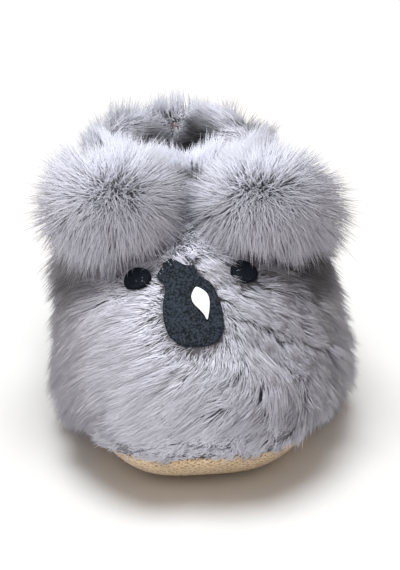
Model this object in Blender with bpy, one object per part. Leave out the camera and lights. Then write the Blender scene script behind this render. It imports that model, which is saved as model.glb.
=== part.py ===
"""Plush animal slipper for a toddler's left foot, in metres, +Z up.

The toe points along -Y and the outer side of the foot is +X. The origin is the middle of the heel's
flat on the floor. Every loop round the foot starts at the toe and runs by way of the outer side.
"""

import math

import bmesh
import bpy
import numpy as np
from mathutils import Vector
from mathutils.bvhtree import BVHTree

# Sole
SOLE_LENGTH = 0.136
BALL_WIDTH = 0.062
HEEL_WIDTH = 0.048
HEEL_BACK = 0.024  # from the origin to the sole's back edge
SOLE_THICKNESS = 0.0028
EDGE_LIFT = 0.0035  # how far the soft sole turns up at its edge
TOE_EDGE_LIFT = 0.0025  # and this much more at the toe
EDGE_ROUND = 0.0075  # width of the turned-up margin
TOE_SPRING = 0.0035
SPRING_LENGTH = 0.036  # from the toe tip to where the sole leaves the floor
ARCH_RISE = 0.0012
ARCH_LENGTH = 0.034
ARCH_SETBACK = 0.066  # from the toe tip to the front of the arch
TOE_SWING = 0.0055  # how far the toe leans to the inner side
SWING_LENGTH = 0.080
OUTER_FULLNESS = 0.0010  # extra width at the outer ball

# Upper
WALL = 0.0030  # fur backing and lining together
SEAM_INSET = 0.0005  # the upper's outer face stands this far inside the sole's edge
THROAT_SETBACK = 0.078  # from the toe tip to the front of the collar
COLLAR_WIDTH = 0.037
HEEL_LEAN = 0.006  # how far the collar's back leans forward of the sole's back edge
SIDE_BULGE = 0.0040
INSTEP_SHIFT = 0.0030  # the instep's ridge leans this far to the inner side
INSTEP_HEIGHT = 0.062
SIDE_HEIGHT = 0.057
BACK_HEIGHT = 0.049

# Pile of the plush
PILE = 0.0080  # depth of the dense pile that the locks stand on
PRESSED_PILE = 0.0025  # where an ear or a patch is sewn down
PRESS_MARGIN = 0.0055  # width of the slope from the pressed pile round a patch to the full pile
PRESS_LEDGE = 0.4  # the slope starts at this share of the margin outside the patch's edge
RIM_PILE = 0.0050  # at the collar's edge
RIM_TAPER = 0.25  # the pile shortens to that over this share of the climb
RIM_ROLL = ((0.55, 0.0, 0.75), (0.0, 0.3, 1.1), (0.0, 1.0, 0.45))  # pile out, wall in, pile up
LOCK_HEIGHT = 0.0035
LOCK_SWEEP = 0.0045
LOCK_RANGE = (0.6, 1.25)  # the shortest and the longest lock, as shares of these
LEAST_LOCK = 0.05  # locks pressed below this share are left out
LOCK_LEAN = 0.0018  # a swept lock on a rounded face stands out this much further
HEM_FLOOR_GAP = 0.0015  # the lowest fur stays this far off the floor
HEM_REACH = 0.0100  # how far the hem stands out past the sole's edge at the sides and heel
TOE_HEM_REACH = 0.0020  # and at the toe, where the sole shows under it
TOE_TRIM = (0.45, 0.74)  # the hem is cut back between these cosines of the turn from the toe
TOE_TAPER = 0.34  # the pile grows to its full depth over this share of the climb at the toe
HEM_GAP = 0.0008  # between the hem and the side of the sole

# Ears
EAR_WIDTH = 0.045
EAR_HEIGHT = 0.037
EAR_DEPTH = 0.035
EAR_SPREAD = 0.0212  # from the centre line to an ear's middle
EAR_SETBACK = 0.047
EAR_RISE = 0.0030  # an ear's middle above the collar's front
EAR_DROOP = 0.0020  # the outer ear hangs this much lower
EAR_GAP = 0.0008  # between an ear and the fur that it is sewn to
EAR_SEAT_EASE = 0.0030  # the ear's flat stays this far inside the pressed pile
EAR_SEAT_RADIUS = 0.0120
EAR_LOCK = 0.0060
EAR_LOCK_EASE = 0.3  # up to this share of a lock is taken off again at random

# Face patches
FACE_SHIFT = 0.0008  # the whole face sits this far to the inner side
NOSE_LENGTH = 0.0285
NOSE_WIDTH = 0.0162
NOSE_SETBACK = 0.0215
GLINT_LENGTH = 0.0100
GLINT_WIDTH = 0.0048
GLINT_ACROSS = 0.0023  # from the nose's middle to the glint's middle
GLINT_DROP = 0.0020
EYE_SIZE = 0.0078
EYE_SPREAD = 0.0138
EYE_SETBACK = 0.0300
PATCH_THICKNESS = 0.0014
PATCH_GAP = 0.0005  # between a patch and the pile that it is sewn to
GLINT_THICKNESS = 0.0006

# Insole
INSOLE_THICKNESS = 0.0030
INSOLE_GAP = 0.0006  # between the insole's edge and the upper's wall

CLEARANCE = 0.0004

# Sections of sole and insole: loops at these shares of EDGE_ROUND in from the outline, and the
# side's loops as (share of the insole's thickness further in, share of the thickness up).
UNDER_LOOPS = (1.6, 1.0, 0.55, 0.18)
UPSIDE_LOOPS = (0.6, 0.8, 1.0, 1.6)
SOLE_SIDE = (0.3, 0.8)
INSOLE_SIDE = ((0.0, 0.35), (0.3, 0.9))

# Mesh fineness
COLUMNS = 60
LOCK_SEED = 11

TOE_Y = HEEL_BACK - SOLE_LENGTH
SPRING_START_Y = TOE_Y + SPRING_LENGTH
ARCH_FRONT_Y = TOE_Y + ARCH_SETBACK

# Plan shape shared by all the loops: evenness of the columns, and where heel and ball lie between
# the loop's back (0) and its toe (1).
EVENING = 0.15
HEEL_SHARE = 0.20
BALL_SHARE = 0.66
SOLE_SQUARENESS = 2.7  # exponent of the outline, 2 being an ellipse
TOE_BLUNTNESS = 0.9  # the toe has this much more of what is over 2, and the heel so much less

# The upper's loops from the seam to the collar. Toe: share of THROAT_SETBACK behind the toe tip.
# Heel: share of HEEL_LEAN forward. Narrow: share of the way from the sole's width to the collar's.
# Bulge: share of SIDE_BULGE. Inner: share of INSTEP_SHIFT. Front, side, back: shares of the three
# heights. Square: plan exponent.
RING_COLUMNS = ("toe", "heel", "narrow", "bulge", "inner", "front", "side", "back", "square")
UPPER_RINGS = (
    # toe    heel   narrow bulge  inner  front  side   back   square
    (0.000, 0.00, 0.00, 0.00, 0.00, 0.00, 0.00, 0.00, 2.70),  # seam
    (-0.040, -0.40, 0.00, 0.95, 0.00, 0.16, 0.14, 0.16, 2.85),  # above the seam
    (0.000, -0.60, 0.00, 0.90, 0.15, 0.34, 0.34, 0.37, 2.80),  # toe box
    (0.090, -0.50, 0.03, 0.65, 0.45, 0.48, 0.55, 0.58, 2.65),  # below the nose
    (0.256, -0.10, 0.17, 0.45, 0.80, 0.68, 0.77, 0.78, 2.50),  # nose
    (0.577, 0.50, 0.65, 0.15, 1.00, 0.89, 0.93, 0.93, 2.35),  # ears
    (1.000, 1.00, 1.00, 0.00, 0.60, 1.00, 1.00, 1.00, 2.20),  # collar
)

# The nose and its glint from top to bottom. Down: share of the length. Left and right: edges as
# shares of half the width, seen from the front.
PATCH_COLUMNS = ("down", "left", "right")
NOSE_ROWS = (
    (0.00, -0.62, -0.46),
    (0.08, -0.86, -0.10),
    (0.10, -0.92, 0.22),
    (0.19, -1.06, 0.28),
    (0.27, -0.90, 0.58),
    (0.36, -0.84, 0.78),
    (0.50, -0.95, 0.94),
    (0.64, -1.00, 1.00),
    (0.78, -0.95, 1.00),
    (0.90, -0.78, 0.86),
    (0.98, -0.36, 0.46),
)
GLINT_ROWS = (
    (0.00, -0.44, -0.10),
    (0.14, -0.80, 0.62),
    (0.30, -1.00, 0.94),
    (0.50, -0.84, 1.00),
    (0.70, -0.24, 0.90),
    (0.88, 0.24, 0.74),
    (1.00, 0.44, 0.60),
)
EYE_POINTS = 14

# A patch's section from the middle of its back to the middle of its front: share of the way to the
# outline, and share of the thickness.
PATCH_SECTION = ((0.0, 0.0), (0.5, 0.0), (0.96, 0.0), (1.0, 0.5), (0.94, 0.9), (0.5, 1.0), (0.0, 1.05))

# Climb values, 0 at the seam and 1 at the collar, of the fur's rows and of the lining's rows.
FUR_CLIMBS = np.linspace(0.06, 0.97, 18)
LINING_CLIMBS = np.linspace(0.97, 0.03, 8)
TREE_CLIMBS = np.linspace(0, 1, 60)

# The plush is combed down, forwards and to the inner side.
COMB = np.array((-0.55, -0.30, -0.75))

COLOURS = {
    "plush": (0.43, 0.43, 0.48, 1.0),
    "ear plush": (0.45, 0.45, 0.50, 1.0),
    "suede": (0.53, 0.38, 0.23, 1.0),
    "fleece": (0.42, 0.35, 0.36, 1.0),
    "dark felt": (0.020, 0.025, 0.034, 1.0),
    "white felt": (0.85, 0.87, 0.90, 1.0),
}
ROUGHNESS = {
    "plush": 0.85,
    "ear plush": 0.85,
    "suede": 0.80,
    "fleece": 0.95,
    "dark felt": 0.75,
    "white felt": 0.60,
}


def smoothstep(x):
    x = np.clip(x, 0, 1)
    return x * x * (3 - 2 * x)


def start_scene():
    """Empties the scene and returns the collection that the parts go in."""
    for obj in list(bpy.data.objects):
        bpy.data.objects.remove(obj)
    parts = bpy.data.collections.new("animal_slipper")
    bpy.context.scene.collection.children.link(parts)
    return parts


def material(name):
    made = bpy.data.materials.new(name)
    made.use_nodes = True
    shader = made.node_tree.nodes["Principled BSDF"]
    shader.inputs["Base Color"].default_value = COLOURS[name]
    shader.inputs["Roughness"].default_value = ROUGHNESS[name]
    shader.inputs["Metallic"].default_value = 0.0
    return made


def mesh_object(name, points, faces, finish, collection):
    """A closed mesh as an object, with its faces turned outwards and shaded smooth."""
    mesh = bpy.data.meshes.new(name)
    mesh.from_pydata([tuple(map(float, p)) for p in points], [], faces)
    work = bmesh.new()
    work.from_mesh(mesh)
    bmesh.ops.recalc_face_normals(work, faces=work.faces)
    work.to_mesh(mesh)
    work.free()
    mesh.materials.append(finish)
    mesh.shade_smooth()
    obj = bpy.data.objects.new(name, mesh)
    collection.objects.link(obj)
    return obj


def band_faces(lower, upper, count):
    """Quads between two loops whose points start at these indices."""
    return [
        (lower + i, lower + (i + 1) % count, upper + (i + 1) % count, upper + i)
        for i in range(count)
    ]


def ladder_faces(first, count):
    """Fills a loop with strips from one side of the foot to the other."""
    faces = [(first, first + 1, first + count - 1)]
    half = count // 2
    for i in range(1, half - 1):
        faces.append((first + i, first + i + 1, first + count - i - 1, first + count - i))
    faces.append((first + half - 1, first + half, first + half + 1))
    return faces


def plan(turn, toe_y, back_y, half_ball, half_heel, squareness):
    """One loop round the foot from above, as x and y. Turn is 0 at the toe and pi at the heel."""
    even = turn + EVENING * np.sin(2 * turn)
    ahead, aside = np.cos(even), np.sin(even)
    power = 2 + (squareness - 2) * (1 + TOE_BLUNTNESS * ahead)
    reach = (np.abs(ahead) ** power + np.abs(aside) ** power) ** (-1 / power)
    ahead, aside = ahead * reach, aside * reach
    y = (toe_y + back_y) / 2 + (toe_y - back_y) / 2 * ahead
    forward = (1 + ahead) / 2
    ball = smoothstep((forward - HEEL_SHARE) / (BALL_SHARE - HEEL_SHARE))
    x = (half_heel + (half_ball - half_heel) * ball) * aside
    x = x + OUTER_FULLNESS * ball * np.clip(aside, 0, 1) ** 2
    swung = np.clip((TOE_Y + SWING_LENGTH - y) / SWING_LENGTH, 0, None)
    return x - TOE_SWING * swung**2, y


def outline(turn, inset):
    """The sole's outline, moved in by the inset."""
    return plan(
        turn,
        TOE_Y + inset,
        HEEL_BACK - inset,
        BALL_WIDTH / 2 - inset,
        HEEL_WIDTH / 2 - inset,
        SOLE_SQUARENESS,
    )


def underside(x, y, inset):
    """Height of the sole's underside: flat at heel and forefoot, raised at arch, toe and edge."""
    spring = TOE_SPRING * np.clip((SPRING_START_Y - y) / SPRING_LENGTH, 0, None) ** 2
    along = np.clip((y - ARCH_FRONT_Y) / ARCH_LENGTH, 0, 1)
    inner = np.clip(0.5 - x / BALL_WIDTH, 0, 1)
    arch = ARCH_RISE * np.sin(math.pi * along) ** 2 * (0.5 + inner)
    toe = smoothstep((SPRING_START_Y - y) / SPRING_LENGTH)
    edge = (EDGE_LIFT + TOE_EDGE_LIFT * toe) * np.clip(1 - inset / EDGE_ROUND, 0, 1) ** 2
    return spring + arch + edge


def sole_loop(inset, above):
    """A loop of points over the sole at this inset, raised above its underside."""
    turn = np.linspace(0, 2 * math.pi, COLUMNS, endpoint=False)
    x, y = outline(turn, inset)
    return np.stack((x, y, underside(x, y, max(inset, 0)) + above), axis=-1)


def make_slab(name, levels, finish, collection):
    """A slab from a stack of (inset, height) loops, filled across at both ends."""
    loops = [sole_loop(inset, above) for inset, above in levels]
    faces = ladder_faces(0, COLUMNS) + ladder_faces((len(loops) - 1) * COLUMNS, COLUMNS)
    for i in range(len(loops) - 1):
        faces += band_faces(i * COLUMNS, (i + 1) * COLUMNS, COLUMNS)
    return mesh_object(name, np.concatenate(loops), faces, finish, collection)


def make_sole(collection):
    """Soft suede sole: a shallow pan with a rounded, turned-up margin."""
    top = SOLE_THICKNESS
    levels = [(EDGE_ROUND * share, 0.0) for share in UNDER_LOOPS]
    levels += [(0.0, top * share) for share in SOLE_SIDE]
    levels += [(SEAM_INSET * 0.6, top), (SEAM_INSET + WALL, top)]
    levels += [(EDGE_ROUND * share, top) for share in UPSIDE_LOOPS]
    return make_slab("sole", levels, material("suede"), collection)


def make_insole(collection):
    """Fleece footbed that lies on the sole inside the upper's wall."""
    edge = SEAM_INSET + WALL + INSOLE_GAP
    low = SOLE_THICKNESS + CLEARANCE
    thick = INSOLE_THICKNESS
    insets = [max(EDGE_ROUND * share, edge + thick * 0.1) for share in UPSIDE_LOOPS]
    levels = [(inset, low) for inset in reversed(insets)]
    levels += [(edge + thick * inward, low + thick * up) for inward, up in INSOLE_SIDE]
    levels += [(EDGE_ROUND + thick * 0.3, low + thick), (EDGE_ROUND * UPSIDE_LOOPS[-1], low + thick)]
    return make_slab("insole", levels, material("fleece"), collection)


def ring_values(climb):
    """The ring table's columns at this climb, on a smooth curve through its rows."""
    rows = np.array(UPPER_RINGS)
    place = climb * (len(rows) - 1)
    low = min(int(place), len(rows) - 2)
    t = place - low
    p0, p1 = rows[max(low - 1, 0)], rows[low]
    p2, p3 = rows[low + 1], rows[min(low + 2, len(rows) - 1)]
    curve = 2 * p1 + (p2 - p0) * t + (2 * p0 - 5 * p1 + 4 * p2 - p3) * t**2
    curve = curve + (3 * p1 - p0 - 3 * p2 + p3) * t**3
    return dict(zip(RING_COLUMNS, curve / 2))


def fabric_loop(climb, turn):
    """The outer face of the fabric, under the pile, at this climb."""
    ring = ring_values(climb)
    inset = SEAM_INSET
    collar_half = COLLAR_WIDTH / 2
    halves = []
    for width in (BALL_WIDTH, HEEL_WIDTH):
        half = width / 2 - inset
        halves.append(half + (collar_half - half) * ring["narrow"] + SIDE_BULGE * ring["bulge"])
    toe_y = TOE_Y + inset + THROAT_SETBACK * ring["toe"]
    back_y = HEEL_BACK - inset - HEEL_LEAN * ring["heel"]
    x, y = plan(turn, toe_y, back_y, halves[0], halves[1], ring["square"])
    x = x - INSTEP_SHIFT * ring["inner"]
    seam_x, seam_y = outline(turn, inset)
    seam_z = underside(seam_x, seam_y, inset) + SOLE_THICKNESS + CLEARANCE
    ahead = np.cos(turn)
    front, back = np.clip(ahead, 0, 1) ** 2, np.clip(-ahead, 0, 1) ** 2
    z = (seam_z + (SIDE_HEIGHT - seam_z) * ring["side"]) * (1 - front - back)
    z = z + (seam_z + (INSTEP_HEIGHT - seam_z) * ring["front"]) * front
    z = z + (seam_z + (BACK_HEIGHT - seam_z) * ring["back"]) * back
    return np.stack((x, y, z), axis=-1)


def normals_of(climb, turn):
    """Outward unit normals of the fabric at this climb."""
    step = 0.01
    low, high = max(climb - step, 0), min(climb + step, 1)
    up = fabric_loop(high, turn) - fabric_loop(low, turn)
    around = fabric_loop(climb, turn + step) - fabric_loop(climb, turn - step)
    normal = np.cross(around, up)
    return normal / np.linalg.norm(normal, axis=-1, keepdims=True)


def fabric_tree():
    """The fabric's outer face as a search tree, to seat the ears and the patches on."""
    turn = np.linspace(0, 2 * math.pi, COLUMNS * 2, endpoint=False)
    points = np.concatenate([fabric_loop(climb, turn) for climb in TREE_CLIMBS])
    faces = []
    for i in range(len(TREE_CLIMBS) - 1):
        faces += band_faces(i * len(turn), (i + 1) * len(turn), len(turn))
    return BVHTree.FromPolygons([Vector(p) for p in points], faces)


def face_middle(setback):
    """Where the middle of the face lies across the shoe at this distance from the toe tip."""
    swing = TOE_SWING * max((SWING_LENGTH - setback) / SWING_LENGTH, 0) ** 2
    return -swing - INSTEP_SHIFT - FACE_SHIFT


def ear_middle(sign):
    x = face_middle(EAR_SETBACK) + sign * EAR_SPREAD
    droop = EAR_DROOP if sign > 0 else 0.0
    return Vector((x, TOE_Y + EAR_SETBACK, INSTEP_HEIGHT + EAR_RISE - droop))


def seat_at(tree, across, setback):
    """The point and normal of the vamp at this distance from the centre line and the toe tip."""
    y = TOE_Y + setback
    above = Vector((face_middle(setback) + across, y, INSTEP_HEIGHT * 3))
    point, normal, _, _ = tree.ray_cast(above, Vector((0, 0, -1)))
    return point, normal if normal.z > 0 else -normal


def seat_frame(normal):
    """Axes of a patch on its seat: across to +X and up the face."""
    up = (Vector((0, 1, 0)) - normal * normal.y).normalized()
    return up.cross(normal), up


def seats(tree):
    """Places of the ears and patches as (name, point, normal, half width, half length)."""
    found = []
    for side, sign in (("outer", 1), ("inner", -1)):
        point, normal, _, _ = tree.find_nearest(ear_middle(sign))
        found.append((f"ear_{side}", point, normal, EAR_SEAT_RADIUS, EAR_SEAT_RADIUS))
        point, normal = seat_at(tree, sign * EYE_SPREAD, EYE_SETBACK)
        found.append((f"eye_{side}", point, normal, EYE_SIZE / 2, EYE_SIZE / 2))
    point, normal = seat_at(tree, 0, NOSE_SETBACK)
    found.append(("nose", point, normal, NOSE_WIDTH / 2, NOSE_LENGTH / 2))
    return found


def pressed(points, places):
    """How far the pile is pressed down at each point, 0 to 1, by the ears and patches."""
    amount = np.zeros(points.shape[:-1])
    for _, centre, normal, half_width, half_length in places:
        across, up = seat_frame(normal)
        offset = points - np.array(centre)
        a, b = offset @ np.array(across), offset @ np.array(up)
        share = np.hypot(a / half_width, b / half_length)
        away = (share - 1) * min(half_width, half_length)
        near = smoothstep(1 + PRESS_LEDGE - away / PRESS_MARGIN)
        near[np.abs(offset @ np.array(normal)) > EAR_SEAT_RADIUS] = 0
        amount = np.maximum(amount, near)
    return amount


def toe_share(turn):
    """1 round the toe, where the sole's edge shows, and 0 at the sides and heel."""
    none, full = TOE_TRIM
    return smoothstep((np.cos(turn) - none) / (full - none))


def fur_loops(places, grow=0.0):
    """The fur's loops from hem to collar, and how far each of their points is pressed. Grow lifts
    them past the tips of the locks, by this much more."""
    turn = np.linspace(0, 2 * math.pi, COLUMNS, endpoint=False)
    loops, presses = [], []
    for climb in FUR_CLIMBS:
        base = fabric_loop(climb, turn)
        press = pressed(base, places)
        taper = smoothstep((1 - climb) / RIM_TAPER)
        depth = RIM_PILE + (PILE - RIM_PILE) * taper
        depth = depth + (PRESSED_PILE - depth) * press
        thin = toe_share(turn) * (1 - smoothstep(climb / TOE_TAPER))
        depth = depth + (TOE_HEM_REACH + SEAM_INSET - depth) * thin
        press = np.maximum(press, thin)
        if grow:
            under_eyes = pressed(base, [place for place in places if "eye" in place[0]])
            depth = depth + grow + (LOCK_HEIGHT * LOCK_RANGE[1] + LOCK_LEAN) * (1 - press)
            depth = depth + (PATCH_THICKNESS + PATCH_GAP) * under_eyes
        loops.append(base + normals_of(climb, turn) * depth[:, None])
        presses.append(press)
    return loops, presses


def rim_loops(grow=0.0):
    """Three loops that roll the pile over the collar's edge."""
    turn = np.linspace(0, 2 * math.pi, COLUMNS, endpoint=False)
    collar, out = fabric_loop(1.0, turn), normals_of(1.0, turn)
    rise = np.array((0, 0, 1.0))
    loops = []
    for pile_out, wall_in, pile_up in RIM_ROLL:
        swell = grow if pile_out else 0.0
        along = out * (RIM_PILE * pile_out + swell - WALL * wall_in)
        loops.append(collar + along + rise * (RIM_PILE * pile_up + grow))
    return loops


def hem_loops():
    """Two loops that close the pile's lower edge round the side of the sole."""
    turn = np.linspace(0, 2 * math.pi, COLUMNS, endpoint=False)
    x, y = outline(turn, -HEM_GAP)
    seam_z = underside(x, y, 0) + SOLE_THICKNESS + CLEARANCE
    inner = np.stack((x, y, seam_z), axis=-1)
    at_toe = toe_share(turn)
    x, y = outline(turn, -HEM_REACH - (TOE_HEM_REACH - HEM_REACH) * at_toe)
    low = HEM_FLOOR_GAP + (seam_z - HEM_FLOOR_GAP) * at_toe
    return [inner, np.stack((x, y, low), axis=-1)]


def upper_shape(places):
    """Points and faces of the upper, a closed wall round the foot, with the indices of the faces
    that carry locks."""
    turn = np.linspace(0, 2 * math.pi, COLUMNS, endpoint=False)
    feet = [
        sole_loop(SEAM_INSET + WALL, SOLE_THICKNESS + CLEARANCE),
        sole_loop(SEAM_INSET, SOLE_THICKNESS + CLEARANCE),
    ]
    fur, presses = fur_loops(places)
    lowest = hem_loops()[1][:, 2]
    rim = rim_loops()
    lining = [fabric_loop(c, turn) - normals_of(c, turn) * WALL for c in LINING_CLIMBS]
    loops = feet + hem_loops() + fur + rim + lining
    faces, lock_faces = [], {}
    first_fur = len(feet) + 2
    for i in range(len(loops)):
        band = band_faces(i * COLUMNS, (i + 1) % len(loops) * COLUMNS, COLUMNS)
        row = i - first_fur
        if 0 <= row < len(fur) - 1:
            for j in range(COLUMNS):
                after = (j + 1) % COLUMNS
                corners = (presses[row][j], presses[row][after])
                corners += (presses[row + 1][j], presses[row + 1][after])
                lock_faces[len(faces) + j] = (1 - max(corners), lowest[j])
        faces += band
    return np.concatenate(loops), faces, lock_faces


def raise_locks(obj, lock_faces):
    """Raises a combed lock of pile from the middle of each of these faces."""
    rng = np.random.default_rng(LOCK_SEED)
    work = bmesh.new()
    work.from_mesh(obj.data)
    work.faces.ensure_lookup_table()
    chosen, moves = [], []
    for index, (fullness, lowest) in lock_faces.items():
        if fullness < LEAST_LOCK:
            continue
        face = work.faces[index]
        comb = Vector(COMB) - face.normal * face.normal.dot(Vector(COMB))
        rise = face.normal * LOCK_HEIGHT * rng.uniform(*LOCK_RANGE)
        sweep = comb * LOCK_SWEEP * rng.uniform(*LOCK_RANGE)
        chosen.append(face)
        moves.append(((rise + sweep) * fullness, lowest))
    poked = bmesh.ops.poke(work, faces=chosen)
    for vertex, (move, lowest) in zip(poked["verts"], moves):
        vertex.co += move
        vertex.co.z = max(vertex.co.z, lowest)
    work.to_mesh(obj.data)
    work.free()


def make_upper(places, collection):
    points, faces, lock_faces = upper_shape(places)
    obj = mesh_object("upper", points, faces, material("plush"), collection)
    raise_locks(obj, lock_faces)
    return obj


def seat_tree(places):
    """The outside of the fur, grown past the tips of its locks, as the ears meet it."""
    eased = []
    for name, point, normal, half_width, half_length in places:
        ease = EAR_SEAT_EASE if name.startswith("ear") else 0.0
        eased.append((name, point, normal, half_width - ease, half_length - ease))
    loops = fur_loops(eased, grow=EAR_GAP)[0] + rim_loops(grow=EAR_GAP)[:2]
    faces = ladder_faces((len(loops) - 1) * COLUMNS, COLUMNS)
    for i in range(len(loops) - 1):
        faces += band_faces(i * COLUMNS, (i + 1) * COLUMNS, COLUMNS)
    return BVHTree.FromPolygons([Vector(p) for p in np.concatenate(loops)], faces)


def make_ear(name, middle, seat, collection):
    """A round ear of long plush: a ball of locks, flattened where it is sewn to the upper."""
    rng = np.random.default_rng(LOCK_SEED)
    work = bmesh.new()
    bmesh.ops.create_icosphere(work, subdivisions=3, radius=1.0)
    tips = set(bmesh.ops.poke(work, faces=work.faces)["verts"])
    half = Vector((EAR_WIDTH, EAR_DEPTH, EAR_HEIGHT)) / 2
    for vertex in work.verts:
        direction = vertex.co.normalized()
        short = EAR_LOCK * rng.uniform(0.0, EAR_LOCK_EASE)
        short += 0.0 if vertex in tips else EAR_LOCK
        reach = direction * (direction * half).length - direction * short
        hit, _, _, distance = seat.ray_cast(middle, direction)
        if hit and distance < reach.length:
            reach = direction * distance
        vertex.co = middle + reach
    mesh = bpy.data.meshes.new(name)
    work.to_mesh(mesh)
    work.free()
    mesh.materials.append(material("ear plush"))
    mesh.shade_smooth()
    obj = bpy.data.objects.new(name, mesh)
    collection.objects.link(obj)
    return obj


def patch_outline(rows, width, length, across=0.0, drop=0.0):
    """The outline of a table's patch, down its right side and up its left, round its seat."""
    edge = dict(zip(PATCH_COLUMNS, np.array(rows).T))
    a = np.concatenate((edge["right"], edge["left"][::-1])) * width / 2 + across
    b = (0.5 - np.concatenate((edge["down"], edge["down"][::-1]))) * length - drop
    return a, b


def eye_outline():
    angle = np.linspace(0, 2 * math.pi, EYE_POINTS, endpoint=False)
    return np.sin(angle) * EYE_SIZE / 2, np.cos(angle) * EYE_SIZE / 2


def make_patch(name, place, outline_points, under, thickness, finish, collection):
    """A padded patch with this outline, laid on the surface under it."""
    _, point, normal, _, _ = place
    across, up = seat_frame(normal)
    a, b = outline_points
    count = len(a)
    middle_a, middle_b = a.mean(), b.mean()
    points, faces, starts = [], [], []
    for share, height in PATCH_SECTION:
        starts.append(len(points))
        for i in range(1 if share == 0 else count):
            place_a = middle_a + (a[i] - middle_a) * share
            place_b = middle_b + (b[i] - middle_b) * share
            above = point + across * place_a + up * place_b + normal * EAR_DEPTH
            hit, _, _, _ = under.ray_cast(above, -normal)
            points.append(hit + normal * (PATCH_GAP + thickness * height))
    last = len(starts) - 1
    for i in range(1, last - 1):
        faces += band_faces(starts[i], starts[i + 1], count)
    for tip, loop in ((starts[0], starts[1]), (starts[last], starts[last - 1])):
        faces += [(tip, loop + i, loop + (i + 1) % count) for i in range(count)]
    return mesh_object(name, points, faces, finish, collection)


def tree_of(obj):
    return BVHTree.FromObject(obj, bpy.context.evaluated_depsgraph_get())


def main():
    parts = start_scene()
    make_sole(parts)
    make_insole(parts)
    places = seats(fabric_tree())
    by_name = {place[0]: place for place in places}
    upper = make_upper(places, parts)
    seat = seat_tree(places)
    for side, sign in (("outer", 1), ("inner", -1)):
        make_ear(f"ear_{side}", ear_middle(sign), seat, parts)
    bpy.context.view_layer.update()
    fur = tree_of(upper)
    dark, white = material("dark felt"), material("white felt")
    nose_edge = patch_outline(NOSE_ROWS, NOSE_WIDTH, NOSE_LENGTH)
    nose = make_patch("nose", by_name["nose"], nose_edge, fur, PATCH_THICKNESS, dark, parts)
    for side in ("outer", "inner"):
        name = f"eye_{side}"
        make_patch(name, by_name[name], eye_outline(), fur, PATCH_THICKNESS, dark, parts)
    bpy.context.view_layer.update()
    glint_edge = patch_outline(GLINT_ROWS, GLINT_WIDTH, GLINT_LENGTH, GLINT_ACROSS, GLINT_DROP)
    nose_top = tree_of(nose)
    make_patch("nose_glint", by_name["nose"], glint_edge, nose_top, GLINT_THICKNESS, white, parts)


main()
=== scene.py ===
# %% [markdown]
# A toddler's plush slipper with an animal's face, dressed around its solid model.
# The solid model gives the size and the place of every piece, so it is loaded first and never
# moved. All the pieces below are made in metres in that same frame: the toe points along -Y, the
# outer side of this left shoe is +X, and the floor is z = 0.

import math

import bmesh
import bpy
import numpy as np
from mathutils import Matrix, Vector
from mathutils.bvhtree import BVHTree


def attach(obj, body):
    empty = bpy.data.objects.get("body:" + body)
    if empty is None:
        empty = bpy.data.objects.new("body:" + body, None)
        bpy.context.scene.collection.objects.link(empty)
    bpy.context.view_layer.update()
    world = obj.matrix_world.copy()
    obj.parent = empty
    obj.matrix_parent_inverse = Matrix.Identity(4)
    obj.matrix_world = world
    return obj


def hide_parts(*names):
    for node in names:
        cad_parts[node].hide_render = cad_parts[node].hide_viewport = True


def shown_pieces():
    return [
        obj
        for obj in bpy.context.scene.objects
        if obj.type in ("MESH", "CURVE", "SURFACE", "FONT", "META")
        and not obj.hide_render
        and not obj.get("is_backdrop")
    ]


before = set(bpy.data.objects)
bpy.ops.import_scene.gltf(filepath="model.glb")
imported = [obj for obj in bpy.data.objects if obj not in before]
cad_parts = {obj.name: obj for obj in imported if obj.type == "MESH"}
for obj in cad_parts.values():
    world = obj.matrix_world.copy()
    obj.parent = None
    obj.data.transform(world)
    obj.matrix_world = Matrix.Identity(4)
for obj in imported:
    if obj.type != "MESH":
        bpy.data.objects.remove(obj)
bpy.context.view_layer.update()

# %% [markdown]
# A soft slipper is cut to a last, the maker's form of the foot. These are the last's main sizes.
# Every surface in the lesson is worked out from them, so the dressed pieces fit the solids.

# %% Sizes of the last
SOLE_LENGTH, HEEL_BACK = 0.136, 0.024
BALL_WIDTH, HEEL_WIDTH = 0.062, 0.048
SOLE_THICKNESS = 0.0028
EDGE_LIFT, TOE_EDGE_LIFT, EDGE_ROUND = 0.0035, 0.0025, 0.0075
TOE_SPRING, SPRING_LENGTH = 0.0035, 0.036
ARCH_RISE, ARCH_LENGTH, ARCH_SETBACK = 0.0012, 0.034, 0.066
TOE_SWING, SWING_LENGTH, OUTER_FULLNESS = 0.0055, 0.080, 0.0010
TOE_BLUNTNESS = 0.9
WALL, SEAM_INSET, CLEARANCE = 0.0030, 0.0005, 0.0004
THROAT_SETBACK, COLLAR_WIDTH, HEEL_LEAN = 0.078, 0.037, 0.006
SIDE_BULGE, INSTEP_SHIFT = 0.0040, 0.0030
INSTEP_HEIGHT, SIDE_HEIGHT, BACK_HEIGHT = 0.062, 0.057, 0.049
TOE_Y = HEEL_BACK - SOLE_LENGTH
RING_COLUMNS = ("toe", "heel", "narrow", "bulge", "inner", "front", "side", "back", "square")
UPPER_RINGS = np.array((
    (0.000, 0.00, 0.00, 0.00, 0.00, 0.00, 0.00, 0.00, 2.70),  # seam
    (-0.040, -0.40, 0.00, 0.95, 0.00, 0.16, 0.14, 0.16, 2.85),  # above the seam
    (0.000, -0.60, 0.00, 0.90, 0.15, 0.34, 0.34, 0.37, 2.80),  # toe box
    (0.090, -0.50, 0.03, 0.65, 0.45, 0.48, 0.55, 0.58, 2.65),  # below the nose
    (0.256, -0.10, 0.17, 0.45, 0.80, 0.68, 0.77, 0.78, 2.50),  # nose
    (0.577, 0.50, 0.65, 0.15, 1.00, 0.89, 0.93, 0.93, 2.35),  # ears
    (1.000, 1.00, 1.00, 0.00, 0.60, 1.00, 1.00, 1.00, 2.20),  # collar
))
print("sole", SOLE_LENGTH * 1000, "mm long; toe tip at y =", round(TOE_Y, 4))


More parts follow.
